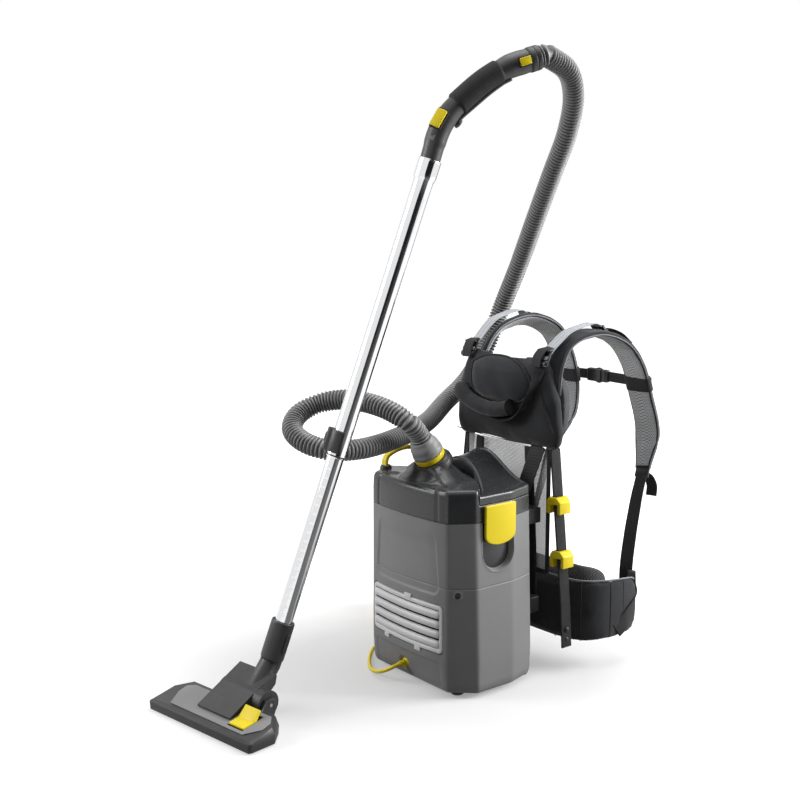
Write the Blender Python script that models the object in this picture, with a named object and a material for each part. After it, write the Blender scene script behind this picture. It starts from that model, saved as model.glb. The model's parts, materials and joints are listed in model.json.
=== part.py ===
"""Backpack vacuum cleaner: machine, harness, suction hose, telescopic wand and floor tool.

Design frame: X = 0 is the middle of the machine (+X is the wearer's right), Y = 0 its front face,
Z = 0 the floor. The finished assembly is centred on its own footprint by the empty "assembly".
All sizes are in metres. Wand pieces are modelled about the tube axis (local Z points up the tube),
the floor tool in its own frame (X along the tool, Y towards its rear).
"""
import math

import bmesh
import bpy
import numpy as np
from mathutils import Matrix, Vector

GAP = 0.0003                      # clearance between pieces that touch

# machine body
HALF_WIDTH = 0.155                # at the floor
FRONT_HALF = HALF_WIDTH - 0.043   # half width of the front face
BACK_HALF = HALF_WIDTH - 0.016
FRONT_CHAMFER = 0.046             # Y where the front chamfer meets the side
SIDE_END = 0.135                  # Y where the rear chamfer starts
DEPTH = 0.197
TAPER = 0.013                     # each side leans in by this much up to the lid line
FRONT_BOW = 0.010                 # the front face bulges by this much
BASE_Z = 0.008                    # underside of the machine, on its feet
SEAM_Z = 0.212                    # seam between the lower and upper housing
LID_Z = 0.335                     # lid line
TRAY_HEIGHT = 0.033               # straight rim of the lid
LID_TOP = LID_Z + 0.062           # shoulder of the lid's front dome
WALL = 0.004
UPPER_WALL = 0.020                # thick enough for the finger recess below each latch
FOOT_RADIUS = 0.013
FEET = [(-0.105, 0.035), (0.105, 0.035), (0.105, 0.165), (-0.105, 0.165)]

# exhaust grille
GRILLE_HALF = FRONT_HALF - 0.007
GRILLE_BOTTOM, GRILLE_TOP = 0.083, 0.177
GRILLE_DEPTH = 0.012
GRILLE_SLATS = 4

# motor and filters
MOTOR_RADIUS = 0.058
MOTOR_HEIGHT = 0.115
MOTOR_Y = 0.112

# latches
LATCH_FRONT, LATCH_REAR = 0.063, 0.138
LATCH_TOP, LATCH_BOTTOM = LID_Z + 0.0315, LID_Z - 0.045
LATCH_THICK = 0.006
RECESS_BOTTOM = 0.238
RECESS_DEPTH = 0.012

# inlet, hose and swivels
INLET = Vector((0.0, 0.057, 0.431))
INLET_LEAN = math.radians(32)     # the inlet axis leans forward
HOSE_RADIUS = 0.020
SPIGOT_RADIUS = 0.0235
SPIGOT_HEIGHT = 0.016
RING_RADIUS = 0.0295
RING_HEIGHT = 0.012
CUFF_LENGTH = 0.034

# wand
WAND_TOP = Vector((0.082, -0.018, 0.989))
WAND_DIRECTION = Vector((0.133, 0.283, 0.950)).normalized()
OUTER_RADIUS = 0.0175
OUTER_LENGTH = 0.55
TUBE_WALL = 0.001
FLARE_RADIUS = OUTER_RADIUS + 0.003
FLARE_LENGTH = 0.032
INNER_RADIUS = OUTER_RADIUS - 0.0015
INNER_START = 0.30                # inner tube's hidden end, below the wand top
INNER_END = 0.900
LOCK_START, LOCK_END = 0.499, 0.545
SLEEVE_START, SLEEVE_END = 0.862, 0.935
SLEEVE_RADIUS = INNER_RADIUS + 0.0055

# handle: stations (along the wand's heading, up) from the wand top
HANDLE_PATH = [(0.0001, 0.0004), (0.017, 0.052), (0.036, 0.082), (0.063, 0.108),
               (0.100, 0.138), (0.140, 0.161), (0.176, 0.173)]
HANDLE_RADIUS = 0.0190
GRIP_FROM, GRIP_TO = 0.42, 0.80   # share of the handle covered by the soft grip

# floor tool, in its own frame
TOOL_HEADING = math.radians(9.04)
TOOL_HALF = 0.1415
TOOL_DEPTH = 0.090
TOOL_FRONT = 0.020                # height of the front wall
TOOL_SLOPE = 0.20
NECK_LEAN = math.radians(50)      # neck pipe above the floor
NECK_JOINT = Vector((0.030, 0.150, 0.101))
BARREL_RADIUS = 0.024
BARREL_Z = 0.042
BARREL_LEFT, BARREL_RIGHT = -0.036, 0.076
PEDAL_LEFT, PEDAL_RIGHT = 0.0600, 0.1000

# harness
BACK_Y = 0.265
BAR_THICK, BAR_WIDTH = 0.004, 0.027
BELT_LOW, BELT_HIGH = 0.050, 0.190
BELT_THICK = 0.020
YOKE_LOW = 0.445
OUTER_BAR = [(0.165, 0.056), (0.158, 0.150), (0.148, 0.232), (0.1365, 0.330), (0.1235, YOKE_LOW - 0.001)]
CHEST_CLIP_X = -0.046             # middle of the chest buckle's overlap

# mains cord
CORD_RADIUS = 0.0037
CORD_HOLE = Vector((-0.010, 0.0, 0.034))
COIL_CENTRE = Vector((-0.290, 0.262, 0.0))
COIL_MIDDLE = 0.0665              # radius at the middle of the turns
COIL_BAND = 0.044                 # width and height of the band of turns
CORD_NODES = ("suction_hose", "mains_cord", "mains_cord_coil", "mains_plug")

MATERIALS = {
    "housing_grey": ((0.30, 0.30, 0.30), 0.45, 0.0),
    "anthracite": ((0.045, 0.046, 0.05), 0.40, 0.0),
    "black_plastic": ((0.018, 0.018, 0.02), 0.45, 0.0),
    "soft_black": ((0.012, 0.012, 0.013), 0.75, 0.0),
    "signal_yellow": ((0.92, 0.76, 0.02), 0.35, 0.0),
    "grille_silver": ((0.62, 0.62, 0.62), 0.40, 0.0),
    "hose_grey": ((0.17, 0.17, 0.17), 0.50, 0.0),
    "chrome": ((0.75, 0.75, 0.76), 0.12, 1.0),
    "fabric_dark": ((0.05, 0.052, 0.058), 0.90, 0.0),
    "mesh_light": ((0.45, 0.45, 0.45), 0.90, 0.0),
    "webbing_light": ((0.35, 0.38, 0.40), 0.85, 0.0),
    "label_grey": ((0.22, 0.22, 0.22), 0.50, 0.0),
    "filter_white": ((0.80, 0.79, 0.76), 0.95, 0.0),
    "motor_metal": ((0.45, 0.45, 0.46), 0.35, 0.9),
    "bristle": ((0.03, 0.03, 0.03), 0.95, 0.0),
}


# ---------------------------------------------------------------- helpers

def material(name):
    """The Principled material called name, made once."""
    made = bpy.data.materials.get(name)
    if made:
        return made
    colour, roughness, metallic = MATERIALS[name]
    made = bpy.data.materials.new(name)
    made.use_nodes = True
    shader = made.node_tree.nodes["Principled BSDF"]
    shader.inputs["Base Color"].default_value = (*colour, 1.0)
    shader.inputs["Roughness"].default_value = roughness
    shader.inputs["Metallic"].default_value = metallic
    return made


def empty(name, parent=None, location=(0, 0, 0), matrix=None):
    """An empty that carries a local frame."""
    made = bpy.data.objects.new(name, None)
    bpy.context.collection.objects.link(made)
    made.parent = parent
    if matrix is None:
        made.location = location
    else:
        made.matrix_local = matrix
    return made


def frame(origin, x_axis, z_axis):
    """Right-handed local frame with the given Z, and X as near to x_axis as it can be."""
    z = Vector(z_axis).normalized()
    x = Vector(x_axis)
    x = (x - z * x.dot(z)).normalized()
    y = z.cross(x)
    matrix = Matrix((x, y, z)).transposed().to_4x4()
    matrix.translation = origin
    return matrix


def add(name, rings, colour, parent, pivot=(0, 0, 0), wrap=False, crease=35):
    """Skin a list of equal rings into one closed body; wrap joins the last ring to the first."""
    pivot = Vector(pivot)
    mesh = bpy.data.meshes.new(name)
    work = bmesh.new()
    rows = [[work.verts.new(Vector(p) - pivot) for p in ring] for ring in rings]
    pairs = list(zip(rows, rows[1:]))
    if wrap:
        pairs.append((rows[-1], rows[0]))
    count = len(rows[0])
    for low, high in pairs:
        for i in range(count):
            j = (i + 1) % count
            work.faces.new((low[i], low[j], high[j], high[i]))
    if not wrap:
        work.faces.new(rows[0][::-1])
        work.faces.new(rows[-1])
    bmesh.ops.remove_doubles(work, verts=work.verts, dist=1e-6)
    bmesh.ops.recalc_face_normals(work, faces=work.faces)
    work.to_mesh(mesh)
    work.free()
    mesh.materials.append(material(colour))
    mesh.shade_smooth()
    mesh.set_sharp_from_angle(angle=math.radians(crease))
    made = bpy.data.objects.new(name, mesh)
    bpy.context.collection.objects.link(made)
    made.parent = parent
    made.location = pivot
    return made


def extrude(outline, low, high, axis):
    """Two rings: an outline in the other two axes, at low and high along axis (0, 1 or 2)."""
    def ring(value):
        return [p[:axis] + (value,) + p[axis:] for p in map(tuple, outline)]
    return [ring(low), ring(high)]


def box(low, high):
    """Two rings of an upright box between two corners."""
    (x0, y0, z0), (x1, y1, z1) = low, high
    plan = [(x0, y0), (x1, y0), (x1, y1), (x0, y1)]
    return extrude(plan, z0, z1, 2)


def turned(profile, sides, centre=(0, 0, 0), matrix=None):
    """Rings of a profile of (radius, height) turned about local Z, then placed by matrix."""
    angles = [2 * math.pi * i / sides for i in range(sides)]
    rings = [[Vector((r * math.cos(t), r * math.sin(t), z)) + Vector(centre) for t in angles]
             for r, z in profile]
    if matrix is None:
        return rings
    return [[matrix @ p for p in ring] for ring in rings]


def spline(points, count):
    """count points evenly spaced along a smooth (centripetal) curve through the given points."""
    points = [Vector(p) for p in points]
    ends = [points[0] * 2 - points[1]] + points + [points[-1] * 2 - points[-2]]
    dense = []
    for a, b, c, d in zip(ends, ends[1:], ends[2:], ends[3:]):
        ab, bc, cd = ((q - p).length ** 0.5 for p, q in ((a, b), (b, c), (c, d)))
        out = (b - a) / ab - (c - a) / (ab + bc) + (c - b) / bc
        into = (c - b) / bc - (d - b) / (bc + cd) + (d - c) / cd
        for k in range(12):
            t = k / 12
            dense.append(b * (2 * t ** 3 - 3 * t ** 2 + 1) + c * (3 * t ** 2 - 2 * t ** 3)
                         + out * bc * (t ** 3 - 2 * t ** 2 + t) + into * bc * (t ** 3 - t ** 2))
    dense.append(points[-1])
    flat = np.array([tuple(p) for p in dense])
    along = np.concatenate(([0], np.cumsum(np.linalg.norm(np.diff(flat, axis=0), axis=1))))
    even = np.linspace(0, along[-1], count)
    return [Vector([np.interp(v, along, flat[:, k]) for k in range(3)]) for v in even]


def directions(points):
    """Unit tangent at every point of a path."""
    near = [points[0]] + list(points) + [points[-1]]
    return [(c - a).normalized() for a, c in zip(near, near[2:])]


def swept(points, section, across):
    """Rings of a section of (across, out) pairs carried along a path."""
    rings = []
    for i, (point, ahead) in enumerate(zip(points, directions(points))):
        wide = (across - ahead * across.dot(ahead)).normalized()
        out = wide.cross(ahead)
        pairs = section(i / (len(points) - 1)) if callable(section) else section
        rings.append([point + wide * a + out * b for a, b in pairs])
    return rings


def flat_section(width, thick, round_share=0.35):
    """A strap's cross-section: a rectangle with its corners cut."""
    w, t, c = width / 2, thick / 2, thick * round_share
    return [(-w + c, -t), (w - c, -t), (w, -t + c), (w, t - c),
            (w - c, t), (-w + c, t), (-w, t - c), (-w, -t + c)]


def round_section(radius, sides):
    """A circular cross-section."""
    return [(radius * math.cos(2 * math.pi * i / sides), radius * math.sin(2 * math.pi * i / sides))
            for i in range(sides)]


def pipe(points, outer, inner, sides, across):
    """Closed rings of an open-ended pipe of varying radius along a path."""
    out = swept(points, lambda t: round_section(outer(t), sides), across)
    bore = swept(points, lambda t: round_section(inner, sides), across)
    return out + bore[::-1]


def cord(name, points, radius, colour, parent):
    """A round cord on a curve object with filled caps."""
    curve = bpy.data.curves.new(name, "CURVE")
    curve.dimensions = "3D"
    curve.bevel_depth = radius
    curve.bevel_resolution = 3
    curve.use_fill_caps = True
    line = curve.splines.new("POLY")
    line.points.add(len(points) - 1)
    for slot, point in zip(line.points, points):
        slot.co = (*point, 1.0)
    curve.materials.append(material(colour))
    made = bpy.data.objects.new(name, curve)
    bpy.context.collection.objects.link(made)
    made.parent = parent
    return made


def combine(target, rings, operation, label, wrap=False):
    """Cut a shape from target, or join it on, with an exact Boolean."""
    tool = add(f"{target.name}_{label}", rings, "label_grey", target.parent, wrap=wrap)
    tool.hide_render = True
    tool.display_type = "WIRE"
    change = target.modifiers.new(label, "BOOLEAN")
    change.operation = operation
    change.solver = "EXACT"
    change.object = tool


def cut(target, rings, label, wrap=False):
    """Remove a shape from target."""
    combine(target, rings, "DIFFERENCE", label, wrap)


def join(target, rings, label, wrap=False):
    """Join a shape to target."""
    combine(target, rings, "UNION", label, wrap)


def mirrored(points):
    """The same points on the other side of the machine."""
    return [(-x, y, z) for x, y, z in points]


# ---------------------------------------------------------------- machine outline

def inset_outline(points, distance):
    """Move a closed counter-clockwise outline inwards by a distance."""
    result = []
    count = len(points)
    for i in range(count):
        before, here, after = (np.array(points[(i + k) % count]) for k in (-1, 0, 1))
        one, two = here - before, after - here
        one, two = one / np.linalg.norm(one), two / np.linalg.norm(two)
        normal_one, normal_two = np.array((-one[1], one[0])), np.array((-two[1], two[0]))
        miter = normal_one + normal_two
        miter = miter / miter.dot(normal_one)
        result.append(tuple(here + miter * distance))
    return result


def body_outline(z, inset=0.0):
    """Plan outline of the machine at height z, as (x, y) pairs, counter-clockwise."""
    lean = TAPER * z / LID_Z
    half, back = HALF_WIDTH - lean, BACK_HALF - lean
    bow = FRONT_BOW * min(1.0, max(0.0, (z - BASE_Z) / 0.06))
    fronts = [FRONT_HALF * k / 3 for k in range(-3, 4)]
    backs = [back * k / 3 for k in range(3, -4, -1)]
    points = [(x, -bow * (1 - (x / FRONT_HALF) ** 2)) for x in fronts]
    points += [(half, FRONT_CHAMFER), (half, SIDE_END)]
    points += [(x, DEPTH) for x in backs]
    points += [(-half, SIDE_END), (-half, FRONT_CHAMFER)]
    return inset_outline(points, inset)


def body_ring(z, inset=0.0):
    """The machine's outline as a level ring."""
    return [(x, y, z) for x, y in body_outline(z, inset)]


def crest_line(x):
    """Y of the S-shaped edge where the lid's dome gives way to the rear cowl."""
    return 0.128 - 0.080 * (min(abs(x), 0.145) / 0.145) ** 2


def inlet_frame():
    """Frame of the inlet: Z along the hose's first stretch."""
    axis = Vector((0, -math.sin(INLET_LEAN), math.cos(INLET_LEAN)))
    return frame(INLET, (1, 0, 0), axis)


# ---------------------------------------------------------------- machine

def lower_housing(root):
    """Lower shell with the grille opening and the cord hole."""
    outer = [body_ring(BASE_Z, 0.010), body_ring(BASE_Z + 0.020, 0.002),
             body_ring(BASE_Z + 0.060), body_ring(SEAM_Z)]
    inner = [body_ring(SEAM_Z, WALL), body_ring(BASE_Z + 0.060, WALL),
             body_ring(BASE_Z + 0.020, WALL + 0.002), body_ring(BASE_Z, WALL + 0.010)]
    shell = add("lower_housing", outer + inner, "housing_grey", root, wrap=True)
    cut(shell, box((-GRILLE_HALF, -0.05, GRILLE_BOTTOM), (GRILLE_HALF, 0.03, GRILLE_TOP)), "grille")
    matrix = frame(CORD_HOLE + Vector((0, -0.03, 0)), (1, 0, 0), (0, 1, 0))
    cut(shell, turned([(0.0085, 0), (0.0085, 0.06)], 16, matrix=matrix), "cord_hole")
    return shell


def upper_housing(root):
    """Upper shell; each side has a finger recess under its latch."""
    low, high = SEAM_Z + GAP, LID_Z
    rings = [body_ring(low), body_ring(high), body_ring(high, UPPER_WALL), body_ring(low, UPPER_WALL)]
    shell = add("upper_housing", rings, "housing_grey", root, wrap=True)
    for label, side in (("recess_right", 1), ("recess_left", -1)):
        middle = (LATCH_FRONT + LATCH_REAR) / 2
        half = (LATCH_REAR - LATCH_FRONT) / 2 + 0.002
        arc = [math.pi * k / 8 for k in range(9)]
        outline = [(middle - half * math.cos(t), RECESS_BOTTOM + half - half * math.sin(t)) for t in arc]
        outline += [(middle + half, LID_Z - 0.006), (middle - half, LID_Z - 0.006)]
        wall = HALF_WIDTH - TAPER
        span = sorted((side * (wall - RECESS_DEPTH), side * (wall + 0.05)))
        cut(shell, extrude(outline, span[0], span[1], 0), label)
    return shell


def base_plate(root):
    """Flat bottom that closes the lower housing, with its four moulded feet."""
    rings = [body_ring(BASE_Z, 0.0145 + GAP), body_ring(BASE_Z + 0.004, 0.0132 + GAP)]
    plate = add("base_plate", rings, "black_plastic", root)
    profile = [(FOOT_RADIUS - 0.002, 0), (FOOT_RADIUS, 0.002), (FOOT_RADIUS, BASE_Z + 0.002)]
    for number, (x, y) in enumerate(FEET):
        join(plate, turned(profile, 12, (x, y, 0)), f"foot_{number}")


def exhaust_grille(root):
    """Louvred exhaust cover; it hinges down on the two tabs at its lower edge."""
    clear = 0.0006
    low, high = GRILLE_BOTTOM + clear, GRILLE_TOP - clear
    half = GRILLE_HALF - clear
    xs = [half * k / 3 for k in range(-3, 4)]
    front = [(x, -FRONT_BOW * (1 - (x / FRONT_HALF) ** 2) - 0.001) for x in xs]
    outline = front + [(x, y + GRILLE_DEPTH) for x, y in front[::-1]]
    pivot = (0, -FRONT_BOW - 0.0012, low)
    cover = add("exhaust_grille", extrude(outline, low, high, 2), "grille_silver", root, pivot)
    pitch = (high - low) / (GRILLE_SLATS + 1)
    for k in range(GRILLE_SLATS):
        z = low + pitch * (k + 1)
        cut(cover, box((-half + 0.012, -0.03, z - 0.002), (half - 0.012, 0.03, z + 0.002)), f"slot_{k}")
    return cover


def exhaust_filter(root):
    """Pleated exhaust filter pad behind the grille."""
    low = (-GRILLE_HALF + 0.004, GRILLE_DEPTH + 0.004, GRILLE_BOTTOM + 0.002)
    high = (GRILLE_HALF - 0.004, GRILLE_DEPTH + 0.022, GRILLE_TOP - 0.002)
    return add("exhaust_filter", box(low, high), "filter_white", root)


def motor(root):
    """Suction motor: casing, fan on its shaft, and the deck that it hangs under."""
    bottom = BASE_Z + 0.006
    top = bottom + MOTOR_HEIGHT
    r = MOTOR_RADIUS
    casing = [(0.034, bottom), (0.036, bottom + 0.002), (0.036, top - 0.040), (r, top - 0.036), (r, top),
              (0.022, top), (0.022, top - 0.003), (r - 0.003, top - 0.003), (r - 0.003, top - 0.032),
              (0.0065, top - 0.032), (0.0065, bottom)]
    place = (0, MOTOR_Y, 0)
    add("motor_casing", turned(casing, 24, place), "motor_metal", root, wrap=True)
    shaft = [(0.004, bottom + 0.004), (0.004, top - 0.029), (r - 0.007, top - 0.027),
             (r - 0.007, top - 0.008), (0.010, top - 0.006)]
    add("motor_fan", turned(shaft, 24, place), "motor_metal", root, pivot=place)
    deck_low = SEAM_Z - 0.010 + GAP
    deck = add("motor_deck", [body_ring(deck_low, WALL + GAP), body_ring(SEAM_Z - GAP, WALL + GAP)],
               "black_plastic", root)
    cut(deck, turned([(0.024, 0.1), (0.024, 0.3)], 20, place), "bore")


def filters(root):
    """Filter basket that drops into the upper housing, and the dust bag in it."""
    low, high = SEAM_Z + 0.010, LID_Z - 0.001
    wall = 0.002
    seat = UPPER_WALL + 0.001
    rings = [body_ring(low, seat + 0.010), body_ring(high, seat),
             body_ring(high, seat + wall), body_ring(low + wall, seat + 0.010 + wall)]
    add("filter_basket", rings, "label_grey", root)
    bag = [body_ring(low + 0.006, seat + 0.026), body_ring(low + 0.020, seat + 0.016),
           body_ring(high - 0.020, seat + 0.010), body_ring(high - 0.004, seat + 0.024)]
    add("dust_bag", bag, "filter_white", root)


def blend(one, two, share, drop=0.0):
    """Ring between two rings, lowered by drop."""
    return [Vector(a).lerp(Vector(b), share) - Vector((0, 0, drop)) for a, b in zip(one, two)]


def front_ring(z, inset=0.0, back=0.0):
    """The part of the outline in front of the crest line, as a ring of the same count."""
    return [(x, min(y, crest_line(x) - inset - back), z) for x, y in body_outline(z, inset)]


def rear_ring(z, inset=0.0, shift=0.0):
    """The part of the outline behind the crest line, as a ring of the same count."""
    return [(x, max(y, crest_line(x) + inset + shift), z) for x, y in body_outline(z, inset)]


def collar_ring(radius, along):
    """Ring round the inlet axis whose points face the outline's points."""
    matrix = inlet_frame()
    middle = INLET.xy
    ring = []
    for x, y in body_outline(LID_Z):
        angle = math.atan2(y - middle.y, x - middle.x)
        ring.append(matrix @ Vector((radius * math.cos(angle), radius * math.sin(angle), along)))
    return ring


def lid(root):
    """Lid: a straight rim all round, and a dome in front that rises to the inlet."""
    rim = LID_Z + TRAY_HEIGHT
    skin = 0.003
    hole = SPIGOT_RADIUS + 0.0035
    shoulder = front_ring(LID_TOP, 0.014)
    outer = [body_ring(LID_Z + GAP), body_ring(rim), front_ring(rim), front_ring(LID_TOP - 0.010, 0.004),
             shoulder, blend(shoulder, collar_ring(0.036, -0.004), 0.5, -0.006),
             collar_ring(0.036, -0.004), collar_ring(hole, -0.004)]
    low = front_ring(LID_TOP - skin, 0.016)
    inner = [collar_ring(hole, -0.004 - skin), collar_ring(0.036, -0.004 - skin),
             blend(low, collar_ring(0.036, -0.004 - skin), 0.5, -0.006),
             low, front_ring(LID_TOP - 0.013, 0.008), front_ring(rim - skin, skin + 0.001, 0.001),
             body_ring(rim - skin, skin), body_ring(LID_Z + GAP, skin)]
    add("lid", outer + inner, "anthracite", root, wrap=True)


def lid_gasket(root):
    """Rubber seal inside the lid's rim, on top of the upper housing."""
    low, high = LID_Z + GAP, LID_Z + 0.006
    rings = [body_ring(low, 0.0045), body_ring(high, 0.0045), body_ring(high, 0.0115),
             body_ring(low, 0.0115)]
    add("lid_gasket", rings, "soft_black", root, wrap=True)


def cowl_height(x, y):
    """Height of the rear cowl's saddle surface."""
    swell = math.exp(-(x / 0.075) ** 2)
    return LID_Z + 0.048 + swell * (0.054 - 0.16 * (DEPTH - y))


def cowl_ring(share, inset, drop=0.0):
    """Ring on the saddle surface, drawn in towards the cowl's middle by share."""
    ring = []
    for x, y, _ in rear_ring(LID_Z + 0.04, inset, 0.004):
        px = x * (1 - share)
        middle = (crest_line(px) + DEPTH) / 2
        py = y + (middle - y) * share
        ring.append((px, py, cowl_height(px, py) - drop))
    return ring


def rear_cowl(root):
    """Saddle-shaped cowl over the rear half of the lid."""
    base = LID_Z + TRAY_HEIGHT + GAP
    rings = [rear_ring(base, 0.0, 0.0014), cowl_ring(0.0, 0.001, 0.008), cowl_ring(0.03, 0.004),
             cowl_ring(0.35, 0.004), cowl_ring(0.72, 0.004)]
    add("rear_cowl", rings, "anthracite", root)


def carry_handle(root):
    """Yellow bow handle along the left edge of the lid."""
    points = [(-0.118, 0.034, 0.4015), (-0.119, 0.040, 0.419), (-0.117, 0.065, 0.431),
              (-0.113, 0.095, 0.433), (-0.111, 0.118, 0.424), (-0.110, 0.126, 0.401)]
    rings = swept(spline(points, 14), flat_section(0.014, 0.008), Vector((1, 0, 0)))
    add("carry_handle", rings, "signal_yellow", root)


def latches(root):
    """A yellow latch on each side, hinged at its top edge on the lid."""
    middle = (LATCH_FRONT + LATCH_REAR) / 2
    half = (LATCH_REAR - LATCH_FRONT) / 2
    arc = [math.pi * k / 10 for k in range(11)]
    drop = 0.022
    outline = [(middle - half * math.cos(t), LATCH_BOTTOM + drop - drop * math.sin(t)) for t in arc]
    outline += [(middle + half, LATCH_TOP), (middle - half, LATCH_TOP)]
    inner = HALF_WIDTH - TAPER * LATCH_BOTTOM / LID_Z + 0.0006
    for name, side in (("latch_right", 1), ("latch_left", -1)):
        span = sorted((side * inner, side * (inner + LATCH_THICK)))
        pivot = (side * (inner + LATCH_THICK / 2), middle, LATCH_TOP - 0.003)
        add(name, extrude(outline, span[0], span[1], 0), "signal_yellow", root, pivot)


def inlet(root):
    """Spigot, swivel ring and conical cuff of the hose connection."""
    matrix = inlet_frame()
    foot = -0.0037
    spigot = [(SPIGOT_RADIUS, -0.020), (SPIGOT_RADIUS, foot), (0.031, foot), (0.031, 0.004),
              (SPIGOT_RADIUS, 0.004), (SPIGOT_RADIUS, SPIGOT_HEIGHT), (0.018, SPIGOT_HEIGHT),
              (0.018, -0.020)]
    add("inlet_spigot", turned(spigot, 24, matrix=matrix), "black_plastic", root, wrap=True)
    low, high = 0.004 + GAP, 0.004 + RING_HEIGHT
    bore = SPIGOT_RADIUS + GAP
    ring = [(RING_RADIUS - 0.001, low), (RING_RADIUS, high), (bore, high), (bore, low)]
    add("swivel_ring", turned(ring, 24, matrix=matrix), "signal_yellow", root, INLET, wrap=True)
    start = high + GAP
    cuff = [(RING_RADIUS, start), (RING_RADIUS, start + 0.010), (HOSE_RADIUS + 0.002, start + CUFF_LENGTH),
            (0.016, start + CUFF_LENGTH), (0.016, start)]
    add("hose_cuff", turned(cuff, 24, matrix=matrix), "hose_grey", root, wrap=True)


# ---------------------------------------------------------------- hose, handle and wand

HOSE_MIDDLE = [(0.004, -0.004, 0.510), (-0.030, -0.022, 0.530), (-0.080, -0.040, 0.541),
               (-0.130, -0.058, 0.542), (-0.168, -0.090, 0.532), (-0.176, -0.130, 0.514),
               (-0.152, -0.160, 0.492), (-0.105, -0.162, 0.474), (-0.058, -0.134, 0.463),
               (-0.046, -0.085, 0.461), (-0.052, -0.035, 0.462), (-0.068, 0.020, 0.465),
               (-0.097, 0.090, 0.469), (-0.132, 0.160, 0.478), (-0.170, 0.233, 0.501),
               (-0.190, 0.310, 0.539), (-0.203, 0.375, 0.600), (-0.188, 0.405, 0.683),
               (-0.130, 0.400, 0.779), (-0.055, 0.375, 0.880), (0.020, 0.345, 0.970),
               (0.090, 0.315, 1.050), (0.135, 0.282, 1.110), (0.160, 0.240, 1.150)]


def handle_point(along, up):
    """Design-frame point from a handle station in the wand's upright plane."""
    heading = Vector((WAND_DIRECTION.x, WAND_DIRECTION.y, 0)).normalized()
    return WAND_TOP + heading * along + Vector((0, 0, up))


def handle_line(count):
    """Centre line of the handle."""
    return spline([handle_point(*station) for station in HANDLE_PATH], count)


def side_axis():
    """Level direction square to the handle's plane, on the wearer's right."""
    return WAND_DIRECTION.cross(Vector((0, 0, 1))).normalized()


def suction_hose(root):
    """Corrugated hose as a plain tube, from the cuff on the lid to the handle."""
    matrix = inlet_frame()
    exit_along = 0.004 + RING_HEIGHT + GAP + CUFF_LENGTH + GAP
    start = [matrix @ Vector((0, 0, exit_along)), matrix @ Vector((0, 0, exit_along + 0.014))]
    line = handle_line(24)
    ahead = (line[-1] - line[-2]).normalized()
    collar_end = line[-1] + ahead * (GAP * 2 + 0.022)
    end = [collar_end + ahead * 0.014, collar_end]
    route = spline([start[1]] + [Vector(p) for p in HOSE_MIDDLE] + [end[0]], 56)
    route = [start[0]] + route + [end[1]]
    cord("suction_hose", route, HOSE_RADIUS, "hose_grey", root)


def handle(root):
    """Curved handle pipe with its soft grip, bleed slider, release button and hose collar."""
    line = handle_line(24)
    across = side_axis()
    add("handle_pipe", pipe(line, lambda t: HANDLE_RADIUS - 0.001 * t, 0.0155, 16, across), "label_grey",
        root, wrap=True)
    first, last = round(GRIP_FROM * 23), round(GRIP_TO * 23)
    grip_line = line[first:last + 1]
    add("handle_grip", pipe(grip_line, lambda t: HANDLE_RADIUS + 0.0028, HANDLE_RADIUS + 0.0001, 16, across),
        "soft_black", root, wrap=True)
    slider(root, line, across)
    button(root, line, across)
    ahead = (line[-1] - line[-2]).normalized()
    matrix = frame(line[-1] + ahead * GAP, across, ahead)
    profile = [(0.0205, 0), (0.0225, 0.004), (0.0225, 0.022), (0.016, 0.022), (0.016, 0)]
    add("hose_end_collar", turned(profile, 20, matrix=matrix), "black_plastic", root,
        matrix.translation, wrap=True)


def slider(root, line, across):
    """Suction bleed slider that runs along the front of the handle."""
    spot, ahead = line[6], (line[8] - line[4]).normalized()
    forward = across.cross(ahead)
    out = (across * 0.75 + forward * 0.66).normalized()
    matrix = frame(spot, out, ahead)
    low = HANDLE_RADIUS + 0.0016
    shape = box((low, -0.010, -0.016), (low + 0.0045, 0.010, 0.016))
    placed = [[matrix @ Vector(p) for p in ring] for ring in shape]
    add("bleed_slider", placed, "signal_yellow", root, matrix @ Vector((low, 0, 0)))


def button(root, line, across):
    """Push button that releases the hose from the handle."""
    spot, ahead = line[22], directions(line)[22]
    matrix = frame(spot, across, ahead)
    low = HANDLE_RADIUS + 0.0032
    shape = box((low, -0.007, -0.010), (low + 0.0045, 0.007, 0.010))
    placed = [[matrix @ Vector(p) for p in ring] for ring in shape]
    add("release_button", placed, "signal_yellow", root, matrix @ Vector((low, 0, 0)))


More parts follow.
